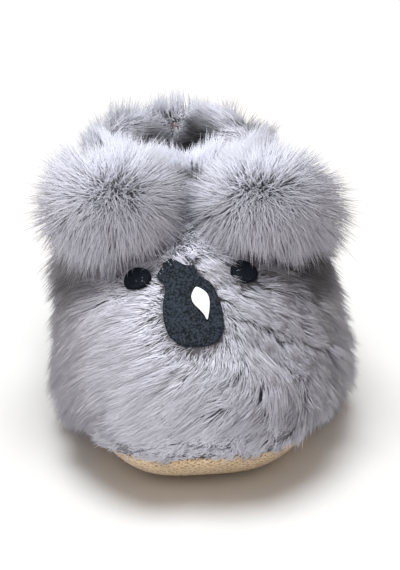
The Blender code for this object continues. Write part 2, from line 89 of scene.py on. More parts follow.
# %% [markdown]
# The foot's plan is a rounded outline, wider at the ball than at the heel. One function draws any
# loop round the foot: `turn` runs once round it, from the toe by way of the outer side.

# %% Loops round the foot
SOLE_SQUARENESS = 2.7
SPREAD_ENDS, BALL_FROM, BALL_OVER = 0.15, 0.20, 0.46


def smoothstep(x):
    x = np.clip(x, 0, 1)
    return x * x * (3 - 2 * x)


def plan(turn, toe_y, back_y, half_ball, half_heel, squareness):
    """One loop round the foot from above, as x and y."""
    even = turn + SPREAD_ENDS * np.sin(2 * turn)
    ahead, aside = np.cos(even), np.sin(even)
    power = 2 + (squareness - 2) * (1 + TOE_BLUNTNESS * ahead)
    reach = (np.abs(ahead) ** power + np.abs(aside) ** power) ** (-1 / power)
    ahead, aside = ahead * reach, aside * reach
    y = (toe_y + back_y) / 2 + (toe_y - back_y) / 2 * ahead
    ball = smoothstep(((1 + ahead) / 2 - BALL_FROM) / BALL_OVER)
    x = (half_heel + (half_ball - half_heel) * ball) * aside
    x = x + OUTER_FULLNESS * ball * np.clip(aside, 0, 1) ** 2
    swung = np.clip((TOE_Y + SWING_LENGTH - y) / SWING_LENGTH, 0, None)
    return x - TOE_SWING * swung**2, y


def outline(turn, inset):
    """The sole's outline, moved in by the inset."""
    halves = BALL_WIDTH / 2 - inset, HEEL_WIDTH / 2 - inset
    return plan(turn, TOE_Y + inset, HEEL_BACK - inset, *halves, SOLE_SQUARENESS)


def underside(x, y, inset):
    """Height of the sole's underside, raised at the arch, the toe and the edge."""
    ahead = (TOE_Y + SPRING_LENGTH - y) / SPRING_LENGTH
    along = np.clip((y - TOE_Y - ARCH_SETBACK) / ARCH_LENGTH, 0, 1)
    arch = ARCH_RISE * np.sin(math.pi * along) ** 2 * (0.5 + np.clip(0.5 - x / BALL_WIDTH, 0, 1))
    lift = EDGE_LIFT + TOE_EDGE_LIFT * smoothstep(ahead)
    edge = lift * np.clip(1 - inset / EDGE_ROUND, 0, 1) ** 2
    return TOE_SPRING * np.clip(ahead, 0, None) ** 2 + arch + edge


def ring_values(climb):
    """The ring table's columns at this climb, on a smooth curve through its rows."""
    rows = UPPER_RINGS
    place = climb * (len(rows) - 1)
    low = min(int(place), len(rows) - 2)
    t = place - low
    p0, p1 = rows[max(low - 1, 0)], rows[low]
    p2, p3 = rows[low + 1], rows[min(low + 2, len(rows) - 1)]
    curve = 2 * p1 + (p2 - p0) * t + (2 * p0 - 5 * p1 + 4 * p2 - p3) * t**2
    curve = curve + (3 * p1 - p0 - 3 * p2 + p3) * t**3
    return dict(zip(RING_COLUMNS, curve / 2))


def fabric_loop(climb, turn):
    """The outer face of the fabric, under the pile: climb 0 is the sole seam and 1 the collar."""
    ring, halves = ring_values(climb), []
    for width in (BALL_WIDTH, HEEL_WIDTH):
        half = width / 2 - SEAM_INSET
        halves.append(
            half + (COLLAR_WIDTH / 2 - half) * ring["narrow"] + SIDE_BULGE * ring["bulge"]
        )
    toe_y = TOE_Y + SEAM_INSET + THROAT_SETBACK * ring["toe"]
    back_y = HEEL_BACK - SEAM_INSET - HEEL_LEAN * ring["heel"]
    x, y = plan(turn, toe_y, back_y, *halves, ring["square"])
    seam_z = underside(*outline(turn, SEAM_INSET), SEAM_INSET) + SOLE_THICKNESS + CLEARANCE
    ahead = np.cos(turn)
    front, back = np.clip(ahead, 0, 1) ** 2, np.clip(-ahead, 0, 1) ** 2
    z = (seam_z + (SIDE_HEIGHT - seam_z) * ring["side"]) * (1 - front - back)
    z = z + (seam_z + (INSTEP_HEIGHT - seam_z) * ring["front"]) * front
    z = z + (seam_z + (BACK_HEIGHT - seam_z) * ring["back"]) * back
    return np.stack((x - INSTEP_SHIFT * ring["inner"], y, z), axis=-1)


def normals_of(climb, turn, step=0.01):
    """Outward unit normals of the fabric at this climb."""
    up = fabric_loop(min(climb + step, 1), turn) - fabric_loop(max(climb - step, 0), turn)
    around = fabric_loop(climb, turn + step) - fabric_loop(climb, turn - step)
    normal = np.cross(around, up)
    return normal / np.linalg.norm(normal, axis=-1, keepdims=True)


COLLAR_TOP = fabric_loop(1.0, np.zeros(1))[0]
print("collar's front edge, mm:", np.round(COLLAR_TOP * 1000, 1))


# %% [markdown]
# The same few steps turn points and faces into an object many times below: make the mesh, turn its
# faces outwards, shade it smooth. A band joins two loops of points with a ring of quads.

# %% Mesh helpers
def mesh_object(name, points, faces, finish=None):
    mesh = bpy.data.meshes.new(name)
    mesh.from_pydata([tuple(map(float, p)) for p in points], [], faces)
    work = bmesh.new()
    work.from_mesh(mesh)
    bmesh.ops.recalc_face_normals(work, faces=work.faces)
    work.to_mesh(mesh)
    work.free()
    mesh.shade_smooth()
    if finish:
        mesh.materials.append(finish)
    obj = bpy.data.objects.new(name, mesh)
    bpy.context.scene.collection.objects.link(obj)
    return obj


def band_faces(lower, upper, count):
    return [
        (lower + i, lower + (i + 1) % count, upper + (i + 1) % count, upper + i)
        for i in range(count)
    ]


def stack_faces(loops, count):
    faces = []
    for i in range(loops - 1):
        faces += band_faces(i * count, (i + 1) * count, count)
    return faces


def ladder_faces(first, count):
    """Fills a loop with strips from one side of the foot to the other."""
    half = count // 2
    faces = [(first, first + 1, first + count - 1)]
    for i in range(1, half - 1):
        faces.append((first + i, first + i + 1, first + count - i - 1, first + count - i))
    return faces + [(first + half - 1, first + half, first + half + 1)]


def triangles(obj):
    return sum(len(p.vertices) - 2 for p in obj.data.polygons)


def told(obj):
    print(f"{obj.name}: {triangles(obj)} triangles")
    return obj


print("helpers ready")


# %% [markdown]
# Materials come from node trees, and two little helpers keep them short. `feed` links an output to
# a socket or sets a plain value on it, and `wire` makes a node and feeds its inputs by name.

# %% Node helpers
def feed(tree, socket, value):
    if isinstance(value, bpy.types.NodeSocket):
        tree.links.new(value, socket)
    else:
        socket.default_value = value


def wire(tree, kind, inputs=None, **settings):
    """A node of this kind with its settings made and its inputs fed."""
    node = tree.nodes.new(kind)
    for key, value in settings.items():
        setattr(node, key, value)
    for key, value in (inputs or {}).items():
        feed(tree, node.inputs[key], value)
    return node


def vec(tree, operation, *values, scale=None):
    node = wire(tree, "ShaderNodeVectorMath", operation=operation)
    for socket, value in zip(node.inputs, values):
        feed(tree, socket, value)
    if scale is not None:
        feed(tree, node.inputs["Scale"], scale)
    return node.outputs["Value" if operation in ("LENGTH", "DOT_PRODUCT") else "Vector"]


def num(tree, operation, *values):
    node = wire(tree, "ShaderNodeMath", operation=operation)
    for socket, value in zip(node.inputs, values):
        feed(tree, socket, value)
    return node.outputs[0]


def ramp(tree, factor, *stops):
    """A colour ramp from (position, colour) stops."""
    node = wire(tree, "ShaderNodeValToRGB", {"Fac": factor})
    while len(node.color_ramp.elements) < len(stops):
        node.color_ramp.elements.new(0.5)
    for element, (position, colour) in zip(node.color_ramp.elements, stops):
        element.position, element.color = position, (*colour, 1)
    return node.outputs["Color"]


BLUISH = (0.955, 0.96, 1.095)


def grey(value):
    """A bluish grey as the plush has it, as linear colour."""
    return tuple(value * share for share in BLUISH)


def new_material(name):
    """A material with one Principled shader, and its tree."""
    made = bpy.data.materials.new(name)
    made.use_nodes = True
    tree = made.node_tree
    return made, tree, tree.nodes["Principled BSDF"]


print("node helpers ready")

# %% [markdown]
# Fleece, felt, thread and suede share one effect: a fine irregular grain that goes lighter and
# darker and stands up a little. It is built once as a shader node group, with its scale, its
# contrast and the scale of its broad patches as named inputs. It puts out a mask and a height.

# %% Grain, a shared shader group
BROAD_SHARE, MASK_BASE = 0.6, 0.2
grain = bpy.data.node_groups.new("soft grain", "ShaderNodeTree")
for socket_name, default in (("Scale", 900.0), ("Contrast", 1.0), ("Patches", 60.0)):
    socket = grain.interface.new_socket(
        name=socket_name, in_out="INPUT", socket_type="NodeSocketFloat"
    )
    socket.default_value = default
for socket_name in ("Mask", "Height"):
    grain.interface.new_socket(name=socket_name, in_out="OUTPUT", socket_type="NodeSocketFloat")
grain_in, grain_out = grain.nodes.new("NodeGroupInput"), grain.nodes.new("NodeGroupOutput")
where = wire(grain, "ShaderNodeTexCoord").outputs["Object"]
fine = wire(
    grain, "ShaderNodeTexNoise",
    {"Vector": where, "Scale": grain_in.outputs["Scale"], "Detail": 4.0, "Roughness": 0.65},
)
broad = wire(
    grain, "ShaderNodeTexNoise",
    {"Vector": where, "Scale": grain_in.outputs["Patches"], "Detail": 3.0},
)
swing = num(grain, "MULTIPLY", num(grain, "SUBTRACT", fine.outputs["Fac"], 0.5),
            grain_in.outputs["Contrast"])
both = num(grain, "ADD", num(grain, "MULTIPLY", broad.outputs["Fac"], BROAD_SHARE), swing)
feed(grain, grain_out.inputs["Mask"], num(grain, "ADD", both, MASK_BASE))
feed(grain, grain_out.inputs["Height"], fine.outputs["Fac"])
print("grain group:", len(grain.nodes), "nodes")

# %% [markdown]
# Each cloth then needs only its own two colours and a few numbers. Cloth hardly mirrors a lamp, so
# the shader's specular level is far below the one for plastic or paint.

# %% Finishes with the grain
DULL = 0.08


def grained(name, dark, light, scale, contrast, patches, bump, depth, roughness, sheen):
    """A cloth or leather finish from the grain group, between a dark and a light colour."""
    made, tree, shader = new_material(name)
    group = wire(tree, "ShaderNodeGroup", node_tree=grain)
    group.inputs["Scale"].default_value = scale
    group.inputs["Contrast"].default_value = contrast
    group.inputs["Patches"].default_value = patches
    colour = ramp(tree, group.outputs["Mask"], (0.25, dark), (0.75, light))
    feed(tree, shader.inputs["Base Color"], colour)
    raised = wire(
        tree, "ShaderNodeBump",
        {"Height": group.outputs["Height"], "Strength": bump, "Distance": depth},
    )
    feed(tree, shader.inputs["Normal"], raised.outputs["Normal"])
    shader.inputs["Roughness"].default_value = roughness
    shader.inputs["Specular IOR Level"].default_value = DULL
    shader.inputs["Sheen Weight"].default_value = sheen
    return made


fleece = grained(
    "fleece", dark=(0.16, 0.125, 0.13), light=(0.42, 0.35, 0.355), scale=1100.0, contrast=1.6,
    patches=150.0, bump=0.9, depth=0.0009, roughness=0.95, sheen=0.4,
)
backing = grained(
    "plush_backing", dark=grey(0.14), light=grey(0.26), scale=1500.0, contrast=1.5,
    patches=200.0, bump=0.8, depth=0.0010, roughness=0.9, sheen=0.1,
)
charcoal = grained(
    "charcoal_felt", dark=(0.006, 0.008, 0.011), light=(0.030, 0.038, 0.052), scale=1500.0,
    contrast=3.5, patches=300.0, bump=0.6, depth=0.0004, roughness=0.75, sheen=0.0,
)
white_felt = grained(
    "white_felt", dark=(0.72, 0.75, 0.80), light=(0.93, 0.94, 0.96), scale=1800.0, contrast=1.0,
    patches=200.0, bump=0.3, depth=0.0002, roughness=0.75, sheen=0.2,
)
eye_felt = grained(
    "eye_felt", dark=(0.001, 0.002, 0.004), light=(0.005, 0.007, 0.012), scale=2200.0,
    contrast=2.0, patches=300.0, bump=0.5, depth=0.0003, roughness=0.6, sheen=0.0,
)
for finish in (fleece, backing, charcoal, white_felt, eye_felt):
    print("finish:", finish.name)

# %% [markdown]
# The sole is one soft piece of tan suede, rolled up all round to meet the plush. Its flesh side
# has a fine slanting weave-like grain. Two crossed wave patterns give that grain, and a noise
# breaks them up so that they don't look printed.

# %% Suede of the sole
WEAVE_TILT, WEAVE_SLANT, WEAVE_SCALE = 0.35, 0.75, 260.0
WEAVE_SHARE, GRAIN_SHARE = 0.45, 0.65
suede, tree, shader = new_material("tan_suede")
where = wire(tree, "ShaderNodeTexCoord").outputs["Object"]
slants = []
for angle in (WEAVE_SLANT, -WEAVE_SLANT):
    turned = wire(
        tree, "ShaderNodeMapping", {"Vector": where, "Rotation": (WEAVE_TILT, angle, angle)}
    )
    wave = wire(
        tree, "ShaderNodeTexWave",
        {"Vector": turned.outputs["Vector"], "Scale": WEAVE_SCALE, "Distortion": 5.0,
         "Detail": 2.0, "Detail Scale": 3.0},
    )
    slants.append(wave.outputs["Fac"])
weave = num(tree, "MAXIMUM", *slants)
group = wire(tree, "ShaderNodeGroup", node_tree=grain)
group.inputs["Scale"].default_value = 1400.0
group.inputs["Contrast"].default_value = 1.4
group.inputs["Patches"].default_value = 90.0
mixed = num(tree, "ADD", num(tree, "MULTIPLY", weave, WEAVE_SHARE),
            num(tree, "MULTIPLY", group.outputs["Mask"], GRAIN_SHARE))
suede_colour = ramp(tree, mixed, (0.25, (0.22, 0.135, 0.07)), (0.55, (0.50, 0.36, 0.21)),
                    (0.85, (0.72, 0.58, 0.40)))
feed(tree, shader.inputs["Base Color"], suede_colour)
raised = wire(tree, "ShaderNodeBump", {"Height": mixed, "Strength": 0.7, "Distance": 0.0005})
feed(tree, shader.inputs["Normal"], raised.outputs["Normal"])
shader.inputs["Roughness"].default_value = 0.9
shader.inputs["Sheen Weight"].default_value = 0.2
print("suede ready")

# %% [markdown]
# Every hair of the plush is darker at its root and pale at its tip, and no two tufts have quite the
# same grey. The hairs will carry two numbers: `along`, 0 at the root and 1 at the tip, and the tone
# number, the tuft's own grey with painted light and painted shade added in places. Light scatters
# through deep fur, so the shading normal leans towards the direction in which the skin under the
# hair faces.

# %% Hair finish
TONE_SWING, TONE_BASE, NORMAL_LEAN = 0.42, 0.79, 2.2


def hair_finish(name, root, middle, tip):
    """A hair material from its colours at the root, half way and at the tip."""
    made, tree, shader = new_material(name)
    along = wire(tree, "ShaderNodeAttribute", attribute_name="along").outputs["Fac"]
    tone_and_painted_light = wire(tree, "ShaderNodeAttribute", attribute_name="tone_and_painted_light").outputs["Fac"]
    colour = ramp(tree, along, (0.0, root), (0.45, middle), (1.0, tip))
    shade = num(tree, "ADD", num(tree, "MULTIPLY", tone_and_painted_light, TONE_SWING), TONE_BASE)
    feed(tree, shader.inputs["Base Color"], vec(tree, "SCALE", colour, scale=shade))
    facing = wire(tree, "ShaderNodeAttribute", attribute_name="facing").outputs["Vector"]
    own = wire(tree, "ShaderNodeNewGeometry").outputs["Normal"]
    soft = vec(tree, "ADD", vec(tree, "SCALE", facing, scale=NORMAL_LEAN), own)
    feed(tree, shader.inputs["Normal"], vec(tree, "NORMALIZE", soft))
    shader.inputs["Roughness"].default_value = 0.6
    shader.inputs["Specular IOR Level"].default_value = 0.3
    shader.inputs["Sheen Weight"].default_value = 0.15
    return made


plush = hair_finish("plush_hair", grey(0.34), grey(0.60), grey(0.78))
ear_plush = hair_finish("ear_hair", grey(0.32), grey(0.55), grey(0.76))
print("hair finishes:", plush.name, ear_plush.name)

# %% [markdown]
# The sole could be shown as the solid model has it, but its edge is what the eye rests on below
# the toe. So it is built again from the same loops with three times the columns, with a rounded
# rim where the suede is turned over.

# %% The sole
FINE_COLUMNS = 192
ROUND_TURN = np.linspace(0, 2 * math.pi, FINE_COLUMNS, endpoint=False)


def sole_loop(inset, above):
    x, y = outline(ROUND_TURN, inset)
    return np.stack((x, y, underside(x, y, max(inset, 0)) + above), axis=-1)


def slab(name, levels, finish):
    """A slab from a stack of (inset, height) loops, filled across at both ends."""
    loops = [sole_loop(inset, above) for inset, above in levels]
    faces = ladder_faces(0, FINE_COLUMNS) + stack_faces(len(loops), FINE_COLUMNS)
    faces += ladder_faces((len(loops) - 1) * FINE_COLUMNS, FINE_COLUMNS)
    return mesh_object(name, np.concatenate(loops), faces, finish)


UNDER_SHARES = (3.2, 1.6, 1.2, 1.0, 0.8, 0.6, 0.42, 0.26, 0.14)
SIDE_SHARES = ((0.06, 0.05), (0.0, 0.2), (0.0, 0.45), (0.0, 0.7), (0.02, 0.88), (0.06, 1.0),
               (0.2, 1.0))
OVER_SHARES = (0.5, 0.7, 0.85, 1.0, 1.3, 1.6, 3.2)
under = [(EDGE_ROUND * share, 0.0) for share in UNDER_SHARES]
side = [(EDGE_ROUND * share, SOLE_THICKNESS * up) for share, up in SIDE_SHARES]
over = [(EDGE_ROUND * share, SOLE_THICKNESS) for share in OVER_SHARES]
sole = slab("sole_suede", under + side + over, suede)
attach(sole, "root")
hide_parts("sole")
told(sole)

# %% [markdown]
# Inside lies a loose footbed of brushed fleece. Its rim is rounded, and its pile is uneven, so
# its top is lifted here and there by a smooth random field.

# %% The footbed
INSOLE_THICKNESS, INSOLE_GAP, INSOLE_BULGE = 0.0030, 0.0006, 0.0004
UNDER_INSOLE = (3.2, 1.6, 1.0, 0.8)
INSOLE_INWARD = (0.0015, 0.003, 0.005, 0.0075, 0.0105, 0.014, 0.018, 0.0215)
FLEECE_BUMP, FLEECE_RISE = 0.0035, 0.00018
WAVES, WAVE_SUM = 14, 5.5


def ripple(points, size, seed):
    """A smooth random field from -1 to 1 with bumps of about this size, from summed waves."""
    rng = np.random.default_rng(seed)
    total = np.zeros(len(points))
    for _ in range(WAVES):
        way = rng.normal(size=3)
        way /= np.linalg.norm(way) * size * rng.uniform(0.7, 1.5)
        total += np.sin(points @ way * math.pi + rng.uniform(0, 2 * math.pi))
    return total / WAVE_SUM


edge = SEAM_INSET + WALL + INSOLE_GAP
low = SOLE_THICKNESS + CLEARANCE
levels = [(EDGE_ROUND * share, low) for share in UNDER_INSOLE] + [(edge + INSOLE_BULGE, low)]
levels += [(edge, low + INSOLE_THICKNESS * 0.4)]
levels += [(edge + INSOLE_BULGE, low + INSOLE_THICKNESS * 0.75)]
first_on_top = len(levels) * FINE_COLUMNS
levels += [(edge + inward, low + INSOLE_THICKNESS) for inward in INSOLE_INWARD]
footbed = slab("footbed", levels, fleece)
spots = np.array([v.co for v in footbed.data.vertices])
lift = np.where(np.arange(len(spots)) >= first_on_top,
                ripple(spots, FLEECE_BUMP, 3) * FLEECE_RISE, 0.0)
for vertex, rise in zip(footbed.data.vertices, lift):
    vertex.co.z += rise
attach(footbed, "root")
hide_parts("insole")
told(footbed)

# %% [markdown]
# The upper's cloth is a knitted backing with the plush on its outside and a fleece lining on its
# inside. Both are made as one closed wall here, in two materials: up the outside, over the collar's
# edge and down the inside, where a small ripple makes the fleece look brushed.

# %% The upper's cloth
SKIN_LIFT, SKIN_EASE = 0.0012, 0.06
COLLAR_ROLL = ((0.0010, 0.0016), (0.0002, 0.0024), (-0.0014, 0.0026), (-0.0027, 0.0016))
LINING_BUMP, LINING_RISE = 0.0045, 0.00022
cloth_climbs = np.linspace(0.0, 1.0, 34)
loops = [sole_loop(SEAM_INSET + WALL, SOLE_THICKNESS + CLEARANCE)]
loops += [
    fabric_loop(c, ROUND_TURN) + normals_of(c, ROUND_TURN) * SKIN_LIFT * smoothstep(c / SKIN_EASE)
    for c in cloth_climbs
]
collar, out = fabric_loop(1.0, ROUND_TURN), normals_of(1.0, ROUND_TURN)
for outward, up in COLLAR_ROLL:
    loops.append(collar + out * outward + np.array((0, 0, up)))
first_fleece = len(loops) - len(COLLAR_ROLL) + 1
for climb in cloth_climbs[::-1][1:-1]:
    loop = fabric_loop(climb, ROUND_TURN)
    brushed = ripple(loop, LINING_BUMP, 5)[:, None] * LINING_RISE
    loops.append(loop - normals_of(climb, ROUND_TURN) * (WALL + brushed))
faces = stack_faces(len(loops), FINE_COLUMNS)
faces += band_faces((len(loops) - 1) * FINE_COLUMNS, 0, FINE_COLUMNS)
cloth = mesh_object("upper_cloth", np.concatenate(loops), faces, backing)
cloth.data.materials.append(fleece)
for face in cloth.data.polygons:
    if face.index >= first_fleece * FINE_COLUMNS:
        face.material_index = 1
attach(cloth, "root")
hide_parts("upper")
told(cloth)

# %% [markdown]
# The face sits on the vamp, a little to the inner side. Its places are found as a maker would mark
# them: so far behind the toe tip and so far from the middle line, dropped straight down onto the
# cloth.

# %% Places of the face and the ears
FACE_SHIFT = 0.0008
NOSE_LENGTH, NOSE_WIDTH, NOSE_SETBACK = 0.0285, 0.0162, 0.0215
EYE_SIZE, EYE_SPREAD, EYE_SETBACK = 0.0078, 0.0138, 0.0300
EAR_HALF = np.array((0.0225, 0.0175, 0.0185))
EAR_SPREAD, EAR_SETBACK, EAR_RISE, EAR_DROOP = 0.0212, 0.047, 0.0030, 0.0020
TREE_CLIMBS, TREE_COLUMNS = 60, 120
tree_turn = np.linspace(0, 2 * math.pi, TREE_COLUMNS, endpoint=False)
fabric_points = np.concatenate([fabric_loop(c, tree_turn) for c in np.linspace(0, 1, TREE_CLIMBS)])
fabric_tree = BVHTree.FromPolygons(
    [Vector(p) for p in fabric_points], stack_faces(TREE_CLIMBS, TREE_COLUMNS)
)


def face_middle(setback):
    swing = TOE_SWING * max((SWING_LENGTH - setback) / SWING_LENGTH, 0) ** 2
    return -swing - INSTEP_SHIFT - FACE_SHIFT


def seat_at(across, setback):
    """The cloth's point and normal there, found by a ray from above."""
    above = Vector((face_middle(setback) + across, TOE_Y + setback, INSTEP_HEIGHT * 3))
    point, normal, _, _ = fabric_tree.ray_cast(above, Vector((0, 0, -1)))
    return np.array(point), np.array(normal if normal.z > 0 else -normal)


def ear_middle(sign):
    x = face_middle(EAR_SETBACK) + sign * EAR_SPREAD
    return np.array((x, TOE_Y + EAR_SETBACK, INSTEP_HEIGHT + EAR_RISE - EAR_DROOP * (sign > 0)))


def seat_frame(normal):
    """Axes of a patch on its seat: across to +X and up the face."""
    up = np.array((0, 1.0, 0)) - normal * normal[1]
    up /= np.linalg.norm(up)
    return np.cross(up, normal), up


SEATS = {"nose": seat_at(0, NOSE_SETBACK)}
for eye_name, sign in (("eye_outer", 1), ("eye_inner", -1)):
    SEATS[eye_name] = seat_at(sign * EYE_SPREAD, EYE_SETBACK)
EARS = {"ear_outer": ear_middle(1), "ear_inner": ear_middle(-1)}
for seat_name, seat in SEATS.items():
    print(seat_name, "at mm", np.round(seat[0] * 1000, 1))

# %% [markdown]
# The outlines of nose, glint and eyes are listed, each as a short table of half widths from top to
# bottom, and the points between follow a smooth curve. They are drawn before the fur is grown,
# because the fur is shaved away under them and brushed off them all round.

# %% Outlines of the face
PATCH_COLUMNS = ("down", "left", "right")
NOSE_ROWS = (
    (0.00, -0.62, -0.46), (0.08, -0.86, -0.10), (0.10, -0.92, 0.22), (0.19, -1.06, 0.28),
    (0.27, -0.90, 0.58), (0.36, -0.84, 0.78), (0.50, -0.95, 0.94), (0.64, -1.00, 1.00),
    (0.78, -0.95, 1.00), (0.90, -0.78, 0.86), (0.98, -0.36, 0.46),
)
GLINT_ROWS = (
    (0.00, -0.44, -0.10), (0.14, -0.80, 0.62), (0.30, -1.00, 0.94), (0.50, -0.84, 1.00),
    (0.70, -0.24, 0.90), (0.88, 0.24, 0.74), (1.00, 0.44, 0.60),
)
PATCH_THICKNESS, PATCH_GAP, GLINT_THICKNESS = 0.0014, 0.0005, 0.0006
GLINT_LENGTH, GLINT_WIDTH, GLINT_ACROSS, GLINT_DROP = 0.0100, 0.0048, 0.0023, 0.0020
NOSE_POINTS, GLINT_POINTS, EYE_POINTS, EYE_WOBBLE = 180, 96, 72, 0.03


def closed_curve(a, b, count):
    """A smooth closed curve through these corners, as this many evenly spaced points."""
    corner = np.stack((a, b), axis=-1)
    pieces = []
    for i in range(len(corner)):
        p0, p1, p2, p3 = (corner[(i + k) % len(corner)] for k in (-1, 0, 1, 2))
        t = np.linspace(0, 1, 24, endpoint=False)[:, None]
        curve = 2 * p1 + (p2 - p0) * t + (2 * p0 - 5 * p1 + 4 * p2 - p3) * t**2
        pieces.append((curve + (3 * p1 - p0 - 3 * p2 + p3) * t**3) / 2)
    fine = np.concatenate(pieces)
    steps = np.linalg.norm(np.diff(fine, axis=0, append=fine[:1]), axis=1)
    gone = np.concatenate(([0], np.cumsum(steps)))
    wanted = np.linspace(0, gone[-1], count, endpoint=False)
    ring = np.concatenate((fine, fine[:1]))
    return np.interp(wanted, gone, ring[:, 0]), np.interp(wanted, gone, ring[:, 1])


def patch_outline(rows, width, length, across, drop, count):
    edge = dict(zip(PATCH_COLUMNS, np.array(rows).T))
    a = np.concatenate((edge["right"], edge["left"][::-1])) * width / 2 + across
    b = (0.5 - np.concatenate((edge["down"], edge["down"][::-1]))) * length - drop
    return closed_curve(a, b, count)


round_turn = np.linspace(0, 2 * math.pi, EYE_POINTS, endpoint=False)
EDGES = {"nose": patch_outline(NOSE_ROWS, NOSE_WIDTH, NOSE_LENGTH, 0.0, 0.0, NOSE_POINTS)}
for eye_name in ("eye_outer", "eye_inner"):
    wobble = 1 + EYE_WOBBLE * np.sin(3 * round_turn + len(eye_name))
    EDGES[eye_name] = (np.sin(round_turn) * EYE_SIZE / 2 * wobble,
                       np.cos(round_turn) * EYE_SIZE / 2 * wobble)
print("outlines:", {name: len(edge[0]) for name, edge in EDGES.items()})

# %% [markdown]
# Plush has a nap: its hairs lean the way they were brushed. Here they were brushed to the left and
# down over the inner cheek, stand nearly on end on the outer cheek, hang down at the sides and the
# heel, and stand up round the collar. A short table gives the nap at a few places in millimetres,
# and the places between take a weighted mean of the rows near them.

# %% The nap
NAP_COLUMNS = ("x", "y", "z", "dx", "dy", "dz", "rise", "length", "clump", "shade")
# The shade column is partly the plush's own grey from place to place and partly painted light and
# shade: painted light lifts the brow between the ears, which the ears shade, and painted shade
# darkens the outer cheek, temple and muzzle.
NAP = np.array((
    # x    y     z     dx     dy     dz    rise  length clump shade
    (-34, -92, 30, -0.90, -0.05, -0.40, 0.38, 1.12, 0.35, 0.10),  # inner cheek
    (-20, -108, 24, -0.85, -0.15, -0.45, 0.34, 0.95, 0.45, 0.05),  # inner muzzle
    (-6, -113, 27, -0.75, -0.20, -0.50, 0.42, 0.85, 0.60, -0.10),  # below the nose
    (14, -110, 25, -0.60, -0.35, -0.60, 0.52, 0.85, 0.75, -0.25),  # outer muzzle
    (-28, -106, 12, -0.90, 0.20, 0.05, 0.25, 0.42, 0.45, -0.10),  # over the toe band, inner
    (-14, -113, 13, -0.90, 0.05, 0.00, 0.25, 0.34, 0.45, -0.10),  # over the toe band
    (4, -114, 13, -0.90, -0.05, 0.00, 0.25, 0.34, 0.50, -0.10),  # over the toe band
    (20, -110, 12, -0.85, -0.20, 0.00, 0.25, 0.36, 0.50, -0.15),  # over the toe band, outer
    (28, -103, 12, 0.70, 0.30, 0.00, 0.25, 0.42, 0.60, -0.10),  # over the toe band, outer end
    (24, -92, 38, -0.10, -0.50, -0.45, 0.80, 0.62, 0.70, -0.45),  # outer cheek
    (34, -80, 42, 0.30, -0.40, -0.45, 0.75, 0.70, 0.60, -0.35),  # outer temple
    (22, -104, 30, -0.20, -0.50, -0.50, 0.70, 0.70, 0.75, -0.30),  # outer muzzle, upper
    (10, -96, 40, 0.60, -0.30, -0.60, 0.45, 0.65, 0.60, 0.00),  # beside the nose, outer
    (-18, -96, 38, -0.80, 0.00, -0.50, 0.32, 0.80, 0.40, 0.05),  # beside the nose, inner
    (37, -84, 18, 0.40, -0.30, -0.60, 0.60, 1.10, 0.60, 0.20),  # outer corner
    (-40, -84, 14, -0.70, -0.10, -0.60, 0.55, 1.20, 0.50, 0.10),  # inner corner
    (42, -62, 32, 0.40, 0.10, -0.80, 0.45, 1.00, 0.50, 0.10),  # outer side
    (-42, -62, 32, -0.50, 0.10, -0.80, 0.50, 1.10, 0.45, 0.10),  # inner side
    (-14, -78, 54, -0.90, -0.10, -0.20, 0.45, 0.70, 0.50, 0.70),  # inner brow
    (5, -78, 54, 0.90, -0.10, -0.20, 0.45, 0.70, 0.60, 0.60),  # outer brow
    (-5, -70, 60, 0.10, -0.70, 0.30, 0.70, 0.95, 0.70, 0.80),  # between the ears
    (40, -24, 34, 0.30, 0.20, -0.90, 0.45, 1.05, 0.60, 0.00),  # outer quarter
    (-42, -24, 34, -0.30, 0.20, -0.90, 0.45, 1.05, 0.60, 0.00),  # inner quarter
    (24, 22, 28, 0.20, 0.40, -0.90, 0.45, 1.05, 0.60, 0.00),  # outer heel
    (-24, 22, 28, -0.20, 0.40, -0.90, 0.45, 1.05, 0.60, 0.00),  # inner heel
    (0, 34, 26, 0.00, 0.30, -0.90, 0.45, 1.05, 0.60, 0.00),  # back of the heel
    (-4, -38, 68, 0.00, -0.50, 0.60, 0.70, 0.70, 0.50, -0.10),  # collar, front
    (20, -16, 64, 0.60, 0.00, 0.60, 0.75, 0.85, 0.50, 0.00),  # collar, outer
    (-24, -16, 64, -0.60, 0.00, 0.60, 0.75, 0.85, 0.50, 0.00),  # collar, inner
    (-2, 20, 56, 0.00, 0.40, 0.80, 0.80, 1.00, 0.45, 0.00),  # collar, back
))
NAP_REACH = 10.0
HAIR = 0.0122
PATCH_MARGIN = 0.0042
PATCH_OVERLAP = 0.0009
HEM_HEIGHT, HEM_SETBACK = 0.026, -0.062
HEM_SHORTER, HEM_PAINTED_LIGHT, HEM_DENSER = 0.66, 0.5, 0.3
BRUSHED_OFF, TURNED_OFF, PATCH_SHORTER, PATCH_FLATTER = 0.15, 1.1, 0.6, 0.3
EAR_SIDE, EAR_SIDE_SOFT = 0.019, 0.006
UNDER_EAR, UNDER_EAR_SHORTER, UNDER_EAR_THINNER = 1.5, 0.55, 0.5
EAR_PAINTED_SHADOW, EAR_PAINTED_SHADOW_EDGE, EAR_PAINTED_SHADOW_SOFT = 1.9, 1.55, 0.35


def nap_at(points):
    """The nap table's columns at these points, as a weighted mean of the rows near them."""
    away = np.linalg.norm(points[:, None, :] * 1000 - NAP[None, :, :3], axis=-1)
    weight = np.exp(-((away / NAP_REACH) ** 2) / 2) + 1e-9
    mean = weight @ NAP / weight.sum(axis=1, keepdims=True)
    return dict(zip(NAP_COLUMNS, mean.T))


